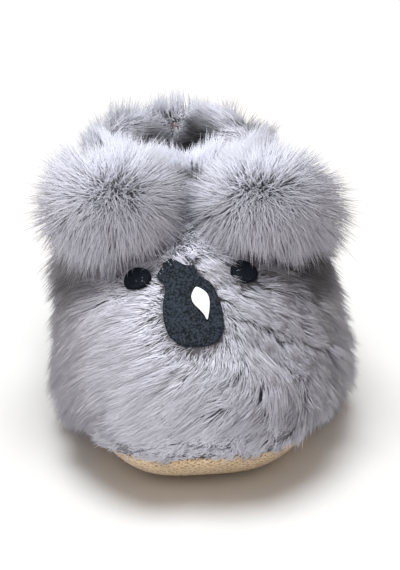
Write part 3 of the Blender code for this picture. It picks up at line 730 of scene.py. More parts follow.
def patch_away(points, name):
    """How far points lie outside a patch's outline, in metres, and the way off it."""
    point, normal = SEATS[name]
    across, up = seat_frame(normal)
    spot = np.stack(((points - point) @ across, (points - point) @ up), axis=-1)
    edge = np.stack(EDGES[name], axis=-1)
    after = np.roll(edge, -1, axis=0)
    gap = spot[:, None, :] - edge[None, :, :]
    distance = np.linalg.norm(gap, axis=-1)
    nearest = distance.argmin(axis=1)
    spans = (edge[None, :, 1] > spot[:, None, 1]) != (after[None, :, 1] > spot[:, None, 1])
    step = after - edge
    with np.errstate(divide="ignore", invalid="ignore"):
        crossing = edge[:, 0] + step[:, 0] * gap[:, :, 1] / step[:, 1]
    inside = (spans & (spot[:, None, 0] < crossing)).sum(axis=1) % 2 == 1
    rows = np.arange(len(points))
    off = gap[rows, nearest] * np.where(inside, -1, 1)[:, None]
    off = across * off[:, :1] + up * off[:, 1:]
    off /= np.maximum(np.linalg.norm(off, axis=1), 1e-6)[:, None]
    return distance[rows, nearest] * np.where(inside, -1, 1), off


def coat(points, normals):
    """What the hairs at these points need, as named columns for the hair tree."""
    nap = nap_at(points)
    sweep = np.stack((nap["dx"], nap["dy"], nap["dz"]), axis=-1)
    length, rise, shade = nap["length"].copy(), nap["rise"].copy(), nap["shade"].copy()
    low, ahead = (HEM_HEIGHT - points[:, 2]) / HEM_HEIGHT, (HEM_SETBACK - points[:, 1]) / HEM_HEIGHT
    hem = smoothstep(low * 2) * smoothstep(ahead)
    length *= 1 - HEM_SHORTER * hem
    # Painted light: the short hairs along the hem by the sole are painted paler to lift the shade
    # there.
    shade += HEM_PAINTED_LIGHT * hem
    amount = 1 + HEM_DENSER * hem
    for name in SEATS:
        away, off = patch_away(points, name)
        near = smoothstep(1 - away / PATCH_MARGIN)
        inward = np.clip(-np.sum(sweep * off, axis=1), 0, None)
        sweep = sweep + off * (near * (BRUSHED_OFF + inward * TURNED_OFF))[:, None]
        length *= 1 - PATCH_SHORTER * near
        rise *= 1 - PATCH_FLATTER * near
        amount = np.where(away < -PATCH_OVERLAP, 0.0, amount)
    for name, middle in EARS.items():
        sign = 1 if name == "ear_outer" else -1
        beside = smoothstep((sign * (points[:, 0] - middle[0]) + EAR_SIDE) / EAR_SIDE_SOFT)
        share = np.linalg.norm((points - middle) / EAR_HALF, axis=1)
        under = smoothstep(UNDER_EAR - share)
        length *= 1 - UNDER_EAR_SHORTER * under
        amount *= 1 - UNDER_EAR_THINNER * under
        # Painted shadow: vamp hairs under and beside each ear, but not between the ears, are
        # painted darker.
        shade -= EAR_PAINTED_SHADOW * beside * smoothstep((EAR_PAINTED_SHADOW_EDGE - share) / EAR_PAINTED_SHADOW_SOFT)
    sweep -= normals * np.sum(sweep * normals, axis=1)[:, None]
    sweep /= np.maximum(np.linalg.norm(sweep, axis=1), 1e-6)[:, None]
    reach = HAIR * length
    flat = np.sqrt(np.clip(1 - rise**2, 0, 1))
    return {
        "lift": reach * rise,
        "sweep": sweep * (reach * flat)[:, None],
        "clump": nap["clump"],
        "shade": shade,
        "amount": amount,
    }


print("nap table:", len(NAP), "places; longest hair", HAIR * 1000, "mm")

# %% [markdown]
# A hair is a slender three-sided spindle: a root, a waist and a tip, five points in all, because
# there will be well over a hundred thousand of them. Each point knows how far along the hair it is
# and on which side of it, so that the hair tree below can bend the hair however it likes.

# %% One hair
WAIST = 0.42
spike = bpy.data.meshes.new("one_hair")
corners = [(math.cos(a), math.sin(a)) for a in (0, 2 * math.pi / 3, 4 * math.pi / 3)]
spike.from_pydata(
    [(0, 0, 0)] + [(u, v, WAIST) for u, v in corners] + [(0, 0, 1)],
    [],
    [(0, 2, 1), (0, 3, 2), (0, 1, 3), (1, 2, 4), (2, 3, 4), (3, 1, 4)],
)
spike.shade_smooth()
one_hair = bpy.data.objects.new("one_hair", spike)
bpy.context.scene.collection.objects.link(one_hair)
one_hair.hide_render = True
spike_points = np.array([v.co for v in spike.vertices])
for key, column in (("side_u", 0), ("side_v", 1), ("along", 2)):
    spike.attributes.new(key, "FLOAT", "POINT").data.foreach_set(
        "value", spike_points[:, column].astype(np.float32)
    )
print("one hair:", len(spike_points), "points")

# %% [markdown]
# The hair tree plants a hair at each of many random points of a skin, then bends it. A hair leaves
# the skin along its normal and lies over along its sweep. Hairs of one tuft lean towards the
# tuft's middle, which a cell pattern gives, and each tuft turns a little its own way. That is what
# makes plush look combed by hand and not mown. Everything comes from named inputs and fixed seeds.

# %% The hair tree
HAIR_INPUTS = (
    ("Density", "NodeSocketFloat"),
    ("Width", "NodeSocketFloat"),
    ("Tuft size", "NodeSocketFloat"),
    ("Stray", "NodeSocketFloat"),
    ("Seed", "NodeSocketInt"),
    ("Hair", "NodeSocketObject"),
    ("Finish", "NodeSocketMaterial"),
)
SMALL_TUFT, BIG_PULL, SMALL_PULL = 0.4, 0.45, 0.55
TUFT_TURN, SMALL_TURN = 0.007, 0.5
OWN_LENGTH = (0.78, 1.06)
TUFT_TONE, SMALL_TONE, OWN_TONE = 0.45, 0.25, 0.3
SWEEP_POWER, CLIMB_FAST, CLIMB_SLOW, SWEEP_AHEAD = 1.5, 1.5, 0.5, 1.2
MIDDLE_GREY, SLANTED = (0.5, 0.5, 0.5), (0.31, 0.52, 0.79)
FLOOR_GAP, NO_FLOOR = 0.0006, -10.0


def field(tree, name, kind="FLOAT"):
    node = wire(tree, "GeometryNodeInputNamedAttribute", data_type=kind)
    node.inputs["Name"].default_value = name
    return node.outputs["Attribute"]


def stored(tree, geometry, name, value, kind="FLOAT"):
    node = wire(tree, "GeometryNodeStoreNamedAttribute", data_type=kind, domain="POINT")
    node.inputs["Name"].default_value = name
    feed(tree, node.inputs["Geometry"], geometry)
    feed(tree, node.inputs["Value"], value)
    return node.outputs["Geometry"]


def random_value(tree, kind, low, high, seed):
    node = wire(tree, "FunctionNodeRandomValue", data_type=kind)
    first = 0 if kind == "FLOAT_VECTOR" else 2
    node.inputs[first].default_value = low
    node.inputs[first + 1].default_value = high
    feed(tree, node.inputs["Seed"], seed)
    return node.outputs[0 if kind == "FLOAT_VECTOR" else 1]


def cells(tree, position, size):
    """The middle of the tuft that this point is in, and the tuft's random colour."""
    node = wire(
        tree, "ShaderNodeTexVoronoi", {"Vector": position, "Scale": num(tree, "DIVIDE", 1.0, size)}
    )
    return node.outputs["Position"], node.outputs["Color"]


def first_channel(tree, colour):
    """One random number a tuft, from the tuft's random colour."""
    return wire(tree, "ShaderNodeSeparateXYZ", {"Vector": colour}).outputs[0]


def next_seed(tree, given, step):
    """Another seed of the same skin, so that no two draws are alike."""
    return num(tree, "ADD", given["Seed"], step)


def plant_hairs(tree, given):
    """Straight hairs at random points of the skin, each with what will bend it."""
    planted = wire(
        tree, "GeometryNodeDistributePointsOnFaces",
        {"Mesh": given["Skin"], "Seed": given["Seed"],
         "Density": num(tree, "MULTIPLY", given["Density"], field(tree, "amount"))},
    )
    root = wire(tree, "GeometryNodeInputPosition").outputs["Position"]
    facing, clump = planted.outputs["Normal"], field(tree, "clump")
    centre, tint = cells(tree, root, given["Tuft size"])
    small_size = num(tree, "MULTIPLY", given["Tuft size"], SMALL_TUFT)
    small_centre, small_tint = cells(tree, root, small_size)
    pull = vec(tree, "SCALE", vec(tree, "SUBTRACT", centre, root), scale=BIG_PULL)
    small_pull = vec(tree, "SCALE", vec(tree, "SUBTRACT", small_centre, root), scale=SMALL_PULL)
    pull = vec(tree, "SCALE", vec(tree, "ADD", pull, small_pull), scale=clump)
    upward = vec(tree, "SCALE", facing, scale=vec(tree, "DOT_PRODUCT", pull, facing))
    pull = vec(tree, "SUBTRACT", pull, upward)
    own = random_value(tree, "FLOAT", *OWN_LENGTH, next_seed(tree, given, 1))
    turn = vec(tree, "SUBTRACT", tint, MIDDLE_GREY)
    small_turn = vec(tree, "SUBTRACT", small_tint, MIDDLE_GREY)
    turn = vec(tree, "ADD", turn, vec(tree, "SCALE", small_turn, scale=SMALL_TURN))
    turn = vec(tree, "SCALE", turn, scale=num(tree, "MULTIPLY", clump, TUFT_TURN))
    stray = random_value(tree, "FLOAT_VECTOR", (-1, -1, -1), (1, 1, 1), next_seed(tree, given, 2))
    turn = vec(tree, "ADD", turn, vec(tree, "SCALE", stray, scale=given["Stray"]))
    sweep = vec(tree, "ADD", field(tree, "sweep", "FLOAT_VECTOR"), turn)
    sweep = vec(tree, "SCALE", sweep, scale=own)
    lift = num(tree, "MULTIPLY", field(tree, "lift"), own)
    tone_and_painted_light = num(tree, "MULTIPLY", first_channel(tree, tint), TUFT_TONE)
    small_tone = num(tree, "MULTIPLY", first_channel(tree, small_tint), SMALL_TONE)
    own_tone = random_value(tree, "FLOAT", 0.0, OWN_TONE, next_seed(tree, given, 3))
    tone_and_painted_light = num(tree, "ADD", num(tree, "ADD", tone_and_painted_light, small_tone), own_tone)
    # Painted light and shade: the shade field lightens the brow and the hem and darkens the outer
    # cheek, the hairs beside the ears and those in the collar's opening.
    tone_and_painted_light = num(tree, "ADD", tone_and_painted_light, field(tree, "shade"))
    points = planted.outputs["Points"]
    for name, value, kind in (
        ("root", root, "FLOAT_VECTOR"), ("facing", facing, "FLOAT_VECTOR"),
        ("pull", pull, "FLOAT_VECTOR"), ("bend", sweep, "FLOAT_VECTOR"),
        ("rise", lift, "FLOAT"), ("tone_and_painted_light", tone_and_painted_light, "FLOAT"),
    ):
        points = stored(tree, points, name, value, kind)
    hair = wire(tree, "GeometryNodeObjectInfo", {"Object": given["Hair"]})
    standing = wire(tree, "GeometryNodeInstanceOnPoints",
                    {"Points": points, "Instance": hair.outputs["Geometry"]})
    real = wire(tree, "GeometryNodeRealizeInstances",
                {"Geometry": standing.outputs["Instances"]})
    return real.outputs["Geometry"]


def bend_hairs(tree, given, hairs):
    """Bends each hair by what its points remember, gives it its width, keeps it off the floor."""
    t, lift = field(tree, "along"), field(tree, "rise")
    root, facing = field(tree, "root", "FLOAT_VECTOR"), field(tree, "facing", "FLOAT_VECTOR")
    pull, sweep = field(tree, "pull", "FLOAT_VECTOR"), field(tree, "bend", "FLOAT_VECTOR")
    over = num(tree, "POWER", t, SWEEP_POWER)
    slower = num(tree, "MULTIPLY", num(tree, "MULTIPLY", t, t), CLIMB_SLOW)
    climb = num(tree, "SUBTRACT", num(tree, "MULTIPLY", t, CLIMB_FAST), slower)
    rising = vec(tree, "SCALE", facing, scale=num(tree, "MULTIPLY", lift, climb))
    lying = vec(tree, "SCALE", vec(tree, "ADD", sweep, pull), scale=over)
    path = vec(tree, "ADD", vec(tree, "ADD", root, rising), lying)
    ahead = vec(tree, "ADD", vec(tree, "SCALE", facing, scale=lift),
                vec(tree, "SCALE", sweep, scale=SWEEP_AHEAD))
    first = vec(tree, "NORMALIZE", vec(tree, "CROSS_PRODUCT", ahead, SLANTED))
    second = vec(tree, "NORMALIZE", vec(tree, "CROSS_PRODUCT", ahead, first))
    spread = vec(tree, "ADD", vec(tree, "SCALE", first, scale=field(tree, "side_u")),
                 vec(tree, "SCALE", second, scale=field(tree, "side_v")))
    girth = num(tree, "MULTIPLY", given["Width"], 0.5)
    placed = vec(tree, "ADD", path, vec(tree, "SCALE", spread, scale=girth))
    placed = vec(tree, "MAXIMUM", placed, (NO_FLOOR, NO_FLOOR, FLOOR_GAP))
    bent = wire(tree, "GeometryNodeSetPosition", {"Geometry": hairs, "Position": placed})
    return bent.outputs["Geometry"]


def build_hair_tree():
    """The whole tree, from a skin with its columns to finished hairs."""
    tree = bpy.data.node_groups.new("plush hairs", "GeometryNodeTree")
    tree.interface.new_socket(name="Skin", in_out="INPUT", socket_type="NodeSocketGeometry")
    for name, kind in HAIR_INPUTS:
        tree.interface.new_socket(name=name, in_out="INPUT", socket_type=kind)
    tree.interface.new_socket(name="Hairs", in_out="OUTPUT", socket_type="NodeSocketGeometry")
    given, end = tree.nodes.new("NodeGroupInput").outputs, tree.nodes.new("NodeGroupOutput")
    bent = bend_hairs(tree, given, plant_hairs(tree, given))
    dressed = wire(tree, "GeometryNodeSetMaterial",
                   {"Geometry": bent, "Material": given["Finish"]})
    feed(tree, end.inputs["Hairs"], dressed.outputs["Geometry"])
    return tree


hair_tree = build_hair_tree()
print("hair tree:", len(hair_tree.nodes), "nodes")

# %% [markdown]
# `grow` puts the tree on a skin, sets its inputs by their identifiers, and keeps the result as a
# plain mesh. The skin is only a seed bed: it is removed once the hairs stand. The numbers that
# only bent the hairs are removed as well, and `along`, the tone number with its painted light and
# shade, and `facing` stay for the finish.

# %% Growing hairs on a skin
BENDING = ("root", "pull", "bend", "rise", "side_u", "side_v", "lift", "sweep", "clump",
           "shade", "amount")


def grow(name, points, faces, columns, density, width, tuft, stray, seed, finish):
    """Grows hairs on this skin and returns them as one plain mesh piece."""
    skin = mesh_object(name + "_skin", points, faces)
    for key, values in columns.items():
        kind = "FLOAT_VECTOR" if values.ndim == 2 else "FLOAT"
        made = skin.data.attributes.new(key, kind, "POINT")
        made.data.foreach_set("vector" if values.ndim == 2 else "value",
                              values.astype(np.float32).ravel())
    modifier = skin.modifiers.new("hairs", "NODES")
    modifier.node_group = hair_tree
    sockets = {s.name: s.identifier for s in hair_tree.interface.items_tree
               if s.in_out == "INPUT"}
    given = {"Density": density, "Width": width, "Tuft size": tuft, "Stray": stray,
             "Seed": seed, "Hair": one_hair, "Finish": finish}
    for key, value in given.items():
        modifier[sockets[key]] = value
    skin.update_tag()
    graph = bpy.context.evaluated_depsgraph_get()
    mesh = bpy.data.meshes.new_from_object(skin.evaluated_get(graph))
    bpy.data.objects.remove(skin)
    for key in BENDING:
        if key in mesh.attributes:
            mesh.attributes.remove(mesh.attributes[key])
    mesh.name = name
    obj = bpy.data.objects.new(name, mesh)
    bpy.context.scene.collection.objects.link(obj)
    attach(obj, "root")
    print(f"{name}: {len(mesh.vertices) // len(spike_points)} hairs, {triangles(obj)} triangles")
    return obj


# %% [markdown]
# The coat is grown in bands from the sole's seam to the collar, so that no piece grows too heavy.
# The front is seen most closely and gets the most hairs. Each band is a strip of the cloth's own
# surface, cut into a front and a back half.

# %% The coat
COAT_DENSITY = 6.2e6
HAIR_WIDTH = 0.00027
COAT_TUFT = 0.0052
COAT_STRAY = 0.0013
COAT_SEED, RIM_SEED, EAR_SEED = 21, 22, 31
BACK_SHARE = 0.55
NAP_LIFT, ROOT_DEPTH = 0.004, 0.7
BAND_ROWS, HALF_COLUMNS = 14, 81
halves = {
    "front": np.linspace(-0.5 * math.pi, 0.5 * math.pi, HALF_COLUMNS),
    "back": np.linspace(0.5 * math.pi, 1.5 * math.pi, HALF_COLUMNS),
}
bands = {"low": (0.03, 0.22), "middle": (0.22, 0.46), "high": (0.46, 0.93)}


def strip_faces(rows, count):
    return [
        (r * count + i, r * count + i + 1, (r + 1) * count + i + 1, (r + 1) * count + i)
        for r in range(rows - 1) for i in range(count - 1)
    ]


coat_pieces = []
for half_name, turn in halves.items():
    for band_name, (low, high) in bands.items():
        climbs = np.linspace(low, high, BAND_ROWS)
        normals = np.concatenate([normals_of(c, turn) for c in climbs])
        points = np.concatenate([fabric_loop(c, turn) for c in climbs])
        columns = coat(points + normals * NAP_LIFT, normals)
        columns["amount"] *= 1.0 if half_name == "front" else BACK_SHARE
        coat_pieces.append(grow(
            f"coat_{half_name}_{band_name}", points + normals * SKIN_LIFT * ROOT_DEPTH,
            strip_faces(BAND_ROWS, HALF_COLUMNS), columns, COAT_DENSITY, HAIR_WIDTH, COAT_TUFT,
            COAT_STRAY, COAT_SEED, plush,
        ))
print("coat:", sum(triangles(piece) for piece in coat_pieces), "triangles")

# %% [markdown]
# At the collar the plush rolls over the edge. Its hairs stand up and lean in over the opening,
# which is why a worn slipper's mouth looks so much smaller than it is. Its inner rows are painted
# darker, as painted shade inside the opening.

# %% The collar's hairs
RIM_COLUMNS, RIM_CLIMBS = 161, (0.93, 0.96, 0.985, 1.0)
RIM_ROLL = ((0.0004, 0.0020, 0.8), (0.0018, 0.0024, 2.2), (0.0030, 0.0004, 5.0),
            (0.0033, -0.0040, 9.0))
RIM_HAIR, RIM_SHORTER, RIM_END_LONGER, RIM_DENSER = 0.0100, 0.0035, 0.30, 1.1
RIM_LEAN, RIM_LEAN_FRONT, RIM_UP = 0.0060, 0.0030, 0.0030
RIM_LEAN_FROM, RIM_LEAN_OVER, RIM_LIFT, RIM_LIFT_LOSS = 0.15, 0.5, 0.75, 0.3
RIM_CLUMP, RIM_PAINTED_SHADE, RIM_PAINTED_SHADE_FROM, RIM_PAINTED_SHADE_OVER = 0.5, 2.1, 0.68, 0.25
turn = np.linspace(0, 2 * math.pi, RIM_COLUMNS)
rim_rows = [fabric_loop(climb, turn) for climb in RIM_CLIMBS]
rim_normals = [normals_of(climb, turn) for climb in RIM_CLIMBS]
loop, out = fabric_loop(1.0, turn), normals_of(1.0, turn)
for inward, up, lean in RIM_ROLL:
    facing = np.array((0, 0, 1.0)) - out * lean
    rim_rows.append(loop - out * inward + np.array((0, 0, up)))
    rim_normals.append(facing / np.linalg.norm(facing, axis=1, keepdims=True))
points, normals = np.concatenate(rim_rows), np.concatenate(rim_normals)
rim_columns = coat(points, normals)
share = np.repeat(np.linspace(0, 1, len(rim_rows)), len(turn))
lengthwise = np.tile(np.cos(turn), len(rim_rows))
reach = (RIM_HAIR - RIM_SHORTER * share) * (1 + RIM_END_LONGER * np.abs(lengthwise))
inward = np.tile(-out, (len(rim_rows), 1))
lean_in = RIM_LEAN + RIM_LEAN_FRONT * np.clip(lengthwise, 0, 1)
lean_in = lean_in * smoothstep((share - RIM_LEAN_FROM) / RIM_LEAN_OVER)
rim_columns["sweep"] = inward * lean_in[:, None] + np.array((0, 0, RIM_UP))
rim_columns["lift"] = reach * (RIM_LIFT - RIM_LIFT_LOSS * share)
rim_columns["clump"] = np.full(len(points), RIM_CLUMP)
# Painted shade: the rim's inner rows, over the opening, are painted darker as the opening's shade.
rim_columns["shade"] = -RIM_PAINTED_SHADE * smoothstep((share - RIM_PAINTED_SHADE_FROM) / RIM_PAINTED_SHADE_OVER)
rim_columns["amount"] = np.ones(len(points))
grow("coat_rim", points, strip_faces(len(rim_rows), len(turn)), rim_columns,
     COAT_DENSITY * RIM_DENSER, HAIR_WIDTH, COAT_TUFT, COAT_STRAY, RIM_SEED, plush)

# %% [markdown]
# Each ear is a pompom: a small firm core sewn to the vamp, hidden under long soft hairs. They part
# from the middle of the ear's front, so one looks into dark roots there, and those hairs are also
# painted a little darker, as painted shade; the tips make a pale edge all round. Hairs that would
# run into the vamp are kept short.

# %% The ears
EAR_HAIR, EAR_DENSITY, EAR_HAIR_WIDTH, EAR_TUFT, EAR_STRAY = 0.0125, 1.8e7, 0.00026, 0.0050, 0.0032
CORE_DEPTH, CLOTH_CLEARANCE, SHORTEST_HAIR, HANGING_LONGER = 0.92, 0.004, 0.0015, 0.06
EYE_CLEARANCE, EYE_SHORTEST, EYE_NEAR = 0.0085, 0.45, 0.4
EAR_WEIGHT = (0.08, -0.10, -0.34)
PART_FROM, PART_OVER, PART_END, PART_END_OVER = -0.2, 0.6, 0.55, 0.45
EAR_PARTED, EAR_LIFT, EAR_CLUMP, EAR_TONE_AND_PAINTED_SHADE, EAR_FRONT = 0.30, 0.95, (0.65, 0.3), (0.1, 0.2), 0.4
EAR_PART = np.array((0.0, -0.86, 0.42))
EAR_PART /= np.linalg.norm(EAR_PART)


def ear_core(middle):
    """The core as a ball of fine faces, with the way out from its middle at each point."""
    work = bmesh.new()
    bmesh.ops.create_icosphere(work, subdivisions=4, radius=1.0)
    points = np.array([v.co for v in work.verts])
    faces = [[v.index for v in f.verts] for f in work.faces]
    work.free()
    core_half = EAR_HALF - EAR_HAIR * CORE_DEPTH
    directions = points / np.linalg.norm(points, axis=1, keepdims=True)
    spots = middle + points * core_half
    return spots, faces, directions


def ear_columns(spots, directions, middle, sign):
    """Lengths and sweeps of an ear's hairs: out from the parting, and down a little by weight."""
    facing = directions @ EAR_PART
    tangent = directions - np.outer(facing, EAR_PART)
    tangent /= np.maximum(np.linalg.norm(tangent, axis=1), 1e-6)[:, None]
    room = []
    for spot, direction in zip(spots, directions):
        hit, _, _, distance = fabric_tree.ray_cast(Vector(spot), Vector(direction))
        room.append(distance if hit else 1.0)
    room = np.array(room) - CLOTH_CLEARANCE
    reach = np.clip(np.minimum(EAR_HAIR, room), SHORTEST_HAIR, None)
    reach *= 1.0 + HANGING_LONGER * np.clip(-directions[:, 2], 0, 1)
    tips = spots + directions * reach[:, None]
    for eye_name in ("eye_outer", "eye_inner"):
        clear = np.linalg.norm(tips - SEATS[eye_name][0], axis=1) / EYE_CLEARANCE
        reach *= EYE_SHORTEST + (1 - EYE_SHORTEST) * smoothstep(clear - EYE_NEAR)
    weight = np.array(EAR_WEIGHT) * (sign, 1, 1)
    parted = smoothstep((facing - PART_FROM) / PART_OVER)
    parted = parted * (1 - smoothstep((facing - PART_END) / PART_END_OVER))
    sweep = tangent * EAR_PARTED * parted[:, None] + weight
    sweep -= directions * np.sum(sweep * directions, axis=1)[:, None]
    in_front = smoothstep((facing - EAR_FRONT) / 0.5)
    return {
        "lift": reach * EAR_LIFT,
        "sweep": sweep * reach[:, None],
        "clump": EAR_CLUMP[0] - EAR_CLUMP[1] * in_front,
        # Painted shade: hairs on the ear's front, round the parting, are painted darker.
        "shade": EAR_TONE_AND_PAINTED_SHADE[0] - EAR_TONE_AND_PAINTED_SHADE[1] * in_front,
        "amount": np.ones(len(spots)),
    }


for ear_name, middle in EARS.items():
    sign = 1 if ear_name == "ear_outer" else -1
    spots, faces, directions = ear_core(middle)
    core = mesh_object(ear_name + "_core", spots, faces, backing)
    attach(core, "root")
    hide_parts(ear_name)
    told(core)
    columns = ear_columns(spots, directions, middle, sign)
    hairs = grow(ear_name + "_hairs", spots, faces, columns, EAR_DENSITY, EAR_HAIR_WIDTH,
                 EAR_TUFT, EAR_STRAY, EAR_SEED + sign, ear_plush)
    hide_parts(ear_name)

# %% [markdown]
# Nose, glint and eyes are small pads of felt, stuffed a little and sewn down all round. Each is
# laid on the solid model's own upper, ring by ring, from its edge up over its crown.

# %% Pads of the face
def tree_of(obj):
    points = [v.co.copy() for v in obj.data.vertices]
    return BVHTree.FromPolygons(points, [list(p.vertices) for p in obj.data.polygons])


PAD_SECTION = (
    (0.0, 0.02), (0.35, 0.02), (0.7, 0.02), (0.93, 0.03), (0.985, 0.12), (1.0, 0.32),
    (0.99, 0.52), (0.955, 0.72), (0.89, 0.86), (0.8, 0.94), (0.65, 0.99), (0.45, 1.03),
    (0.22, 1.05), (0.0, 1.06),
)
RAY_START = 0.03


def pad(name, seat, edge, under, thickness, finish):
    """A stuffed pad with this outline, laid on the surface under it."""
    point, normal = Vector(seat[0]), Vector(seat[1])
    across, up = (Vector(v) for v in seat_frame(seat[1]))
    a, b = edge
    middle_a, middle_b = a.mean(), b.mean()
    points, starts = [], []
    for share, height in PAD_SECTION:
        starts.append(len(points))
        for i in range(1 if share == 0 else len(a)):
            place_a = middle_a + (a[i] - middle_a) * share
            place_b = middle_b + (b[i] - middle_b) * share
            above = point + across * float(place_a) + up * float(place_b) + normal * RAY_START
            hit, _, _, _ = under.ray_cast(above, -normal)
            points.append(hit + normal * (PATCH_GAP + thickness * height))
    faces = []
    for i in range(1, len(starts) - 2):
        faces += band_faces(starts[i], starts[i + 1], len(a))
    for tip, loop in ((starts[0], starts[1]), (starts[-1], starts[-2])):
        faces += [(tip, loop + i, loop + (i + 1) % len(a)) for i in range(len(a))]
    obj = mesh_object(name, points, faces, finish)
    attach(obj, "root")
    return told(obj)


solid_upper = tree_of(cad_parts["upper"])
nose = pad("nose_pad", SEATS["nose"], EDGES["nose"], solid_upper, PATCH_THICKNESS, charcoal)
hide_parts("nose")
glint_edge = patch_outline(
    GLINT_ROWS, GLINT_WIDTH, GLINT_LENGTH, GLINT_ACROSS, GLINT_DROP, GLINT_POINTS
)
glint = pad("nose_glint_pad", SEATS["nose"], glint_edge, tree_of(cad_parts["nose"]),
            GLINT_THICKNESS, white_felt)
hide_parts("nose_glint")
for eye_name in ("eye_outer", "eye_inner"):
    eye = pad(eye_name + "_pad", SEATS[eye_name], EDGES[eye_name], solid_upper, PATCH_THICKNESS,
              eye_felt)
    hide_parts(eye_name)

# %% [markdown]
# The suede is joined to the plush by a row of overcast stitches in dark thread, which climb over
# the sole's edge. A second Geometry Nodes tree sets one stitch after another along a curve. It
# takes the pitch and the stitch as named inputs and turns each stitch with the curve.

# %% The stitch tree
stitch_tree = bpy.data.node_groups.new("stitches along a line", "GeometryNodeTree")
for name, kind in (("Line", "NodeSocketGeometry"), ("Pitch", "NodeSocketFloat"),
                   ("Stitch", "NodeSocketObject"), ("Thread", "NodeSocketMaterial")):
    stitch_tree.interface.new_socket(name=name, in_out="INPUT", socket_type=kind)
stitch_tree.interface.new_socket(name="Row", in_out="OUTPUT", socket_type="NodeSocketGeometry")
given = stitch_tree.nodes.new("NodeGroupInput").outputs
row_end = stitch_tree.nodes.new("NodeGroupOutput")
line = wire(stitch_tree, "GeometryNodeMeshToCurve", {"Mesh": given["Line"]})
spaced = wire(stitch_tree, "GeometryNodeCurveToPoints", {"Curve": line.outputs["Curve"]},
              mode="LENGTH")
feed(stitch_tree, spaced.inputs["Length"], given["Pitch"])
one = wire(stitch_tree, "GeometryNodeObjectInfo", {"Object": given["Stitch"]})
along_line = wire(stitch_tree, "FunctionNodeAlignEulerToVector",
                  {"Vector": spaced.outputs["Tangent"]}, axis="X")
upright = wire(stitch_tree, "FunctionNodeAlignEulerToVector",
               {"Rotation": along_line.outputs["Rotation"],
                "Vector": field(stitch_tree, "out", "FLOAT_VECTOR")}, axis="Z",
               pivot_axis="X")
set_down = wire(stitch_tree, "GeometryNodeInstanceOnPoints",
                {"Points": spaced.outputs["Points"], "Instance": one.outputs["Geometry"],
                 "Rotation": upright.outputs["Rotation"]})
real_row = wire(stitch_tree, "GeometryNodeRealizeInstances",
                {"Geometry": set_down.outputs["Instances"]})
threaded = wire(stitch_tree, "GeometryNodeSetMaterial",
                {"Geometry": real_row.outputs["Geometry"], "Material": given["Thread"]})
feed(stitch_tree, row_end.inputs["Row"], threaded.outputs["Geometry"])
dark_thread = grained(
    "dark_thread", dark=(0.02, 0.016, 0.014), light=(0.10, 0.08, 0.07), scale=3000.0,
    contrast=1.5, patches=300.0, bump=0.4, depth=0.0002, roughness=0.8, sheen=0.1,
)


def stitch(name, reach, bow, thick, slant):
    """One stitch across the line: a bowed thread whose two ends dive under."""
    ring, steps = 6, 6
    points, faces = [], []
    for k in range(steps):
        share = k / (steps - 1)
        middle = Vector((slant * (share - 0.5), reach * (share - 0.5),
                         bow * (math.sin(math.pi * share) - 0.35)))
        for j in range(ring):
            angle = 2 * math.pi * j / ring
            swell = thick / 2 * (0.7 + 0.3 * math.sin(math.pi * share))
            points.append(middle + Vector((math.cos(angle), 0, math.sin(angle))) * swell)
    for k in range(steps - 1):
        faces += band_faces(k * ring, (k + 1) * ring, ring)
    faces += [tuple(range(ring))[::-1], tuple((steps - 1) * ring + j for j in range(ring))]
    made = mesh_object(name, points, faces)
    made.hide_render = True
    return made


def sew(name, line_points, outward, pitch, one_stitch, thread):
    """A row of stitches round a closed line of points, each turned to face outward there."""
    count = len(line_points)
    edges = [(i, (i + 1) % count) for i in range(count)]
    mesh = bpy.data.meshes.new(name + "_line")
    mesh.from_pydata([tuple(map(float, p)) for p in line_points], edges, [])
    mesh.attributes.new("out", "FLOAT_VECTOR", "POINT").data.foreach_set(
        "vector", np.asarray(outward, dtype=np.float32).ravel()
    )
    carrier = bpy.data.objects.new(name + "_line", mesh)
    bpy.context.scene.collection.objects.link(carrier)
    modifier = carrier.modifiers.new("stitches", "NODES")
    modifier.node_group = stitch_tree
    sockets = {s.name: s.identifier for s in stitch_tree.interface.items_tree
               if s.in_out == "INPUT"}
    for key, value in {"Pitch": pitch, "Stitch": one_stitch, "Thread": thread}.items():
        modifier[sockets[key]] = value
    carrier.update_tag()
    graph = bpy.context.evaluated_depsgraph_get()
    mesh = bpy.data.meshes.new_from_object(carrier.evaluated_get(graph))
    bpy.data.objects.remove(carrier)
    if "out" in mesh.attributes:
        mesh.attributes.remove(mesh.attributes["out"])
    mesh.name = name
    obj = bpy.data.objects.new(name, mesh)
    bpy.context.scene.collection.objects.link(obj)
    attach(obj, "root")
    return told(obj)


print("stitch tree:", len(stitch_tree.nodes), "nodes")

# %% [markdown]
# The overcast row runs round the whole sole, just under its rolled rim. It shows at the toe, where
# the plush is trimmed back to leave a band of suede.

# %% Overcast stitches
ROW_POINTS, ROW_HEIGHT, ROW_OUTWARD, ROW_UPWARD = 400, 0.92, 0.001, 0.0008
PITCH, STITCH_REACH, STITCH_BOW, THREAD, SLANT = 0.0021, 0.0016, 0.0007, 0.00042, 0.0007
line_turn = np.linspace(0, 2 * math.pi, ROW_POINTS, endpoint=False)
x, y = outline(line_turn, 0.0)
rim = np.stack((x, y, underside(x, y, 0.0) + SOLE_THICKNESS * ROW_HEIGHT), axis=-1)
x_out, y_out = outline(line_turn, -ROW_OUTWARD)
outward = np.stack((x_out - x, y_out - y, np.full(len(x), ROW_UPWARD)), axis=-1)
outward /= np.linalg.norm(outward, axis=1, keepdims=True)
overcast = stitch("overcast_stitch", STITCH_REACH, STITCH_BOW, THREAD, SLANT)
sew("sole_stitches", rim, outward, PITCH, overcast, dark_thread)

# %% [markdown]
# A pale floor and a slightly warm sky of light all round, with one large soft lamp overhead and a
# weaker one in front that lights only the slipper, as for a catalogue picture. The camera stands a
# little to the left of the toe and looks down at 28 degrees.

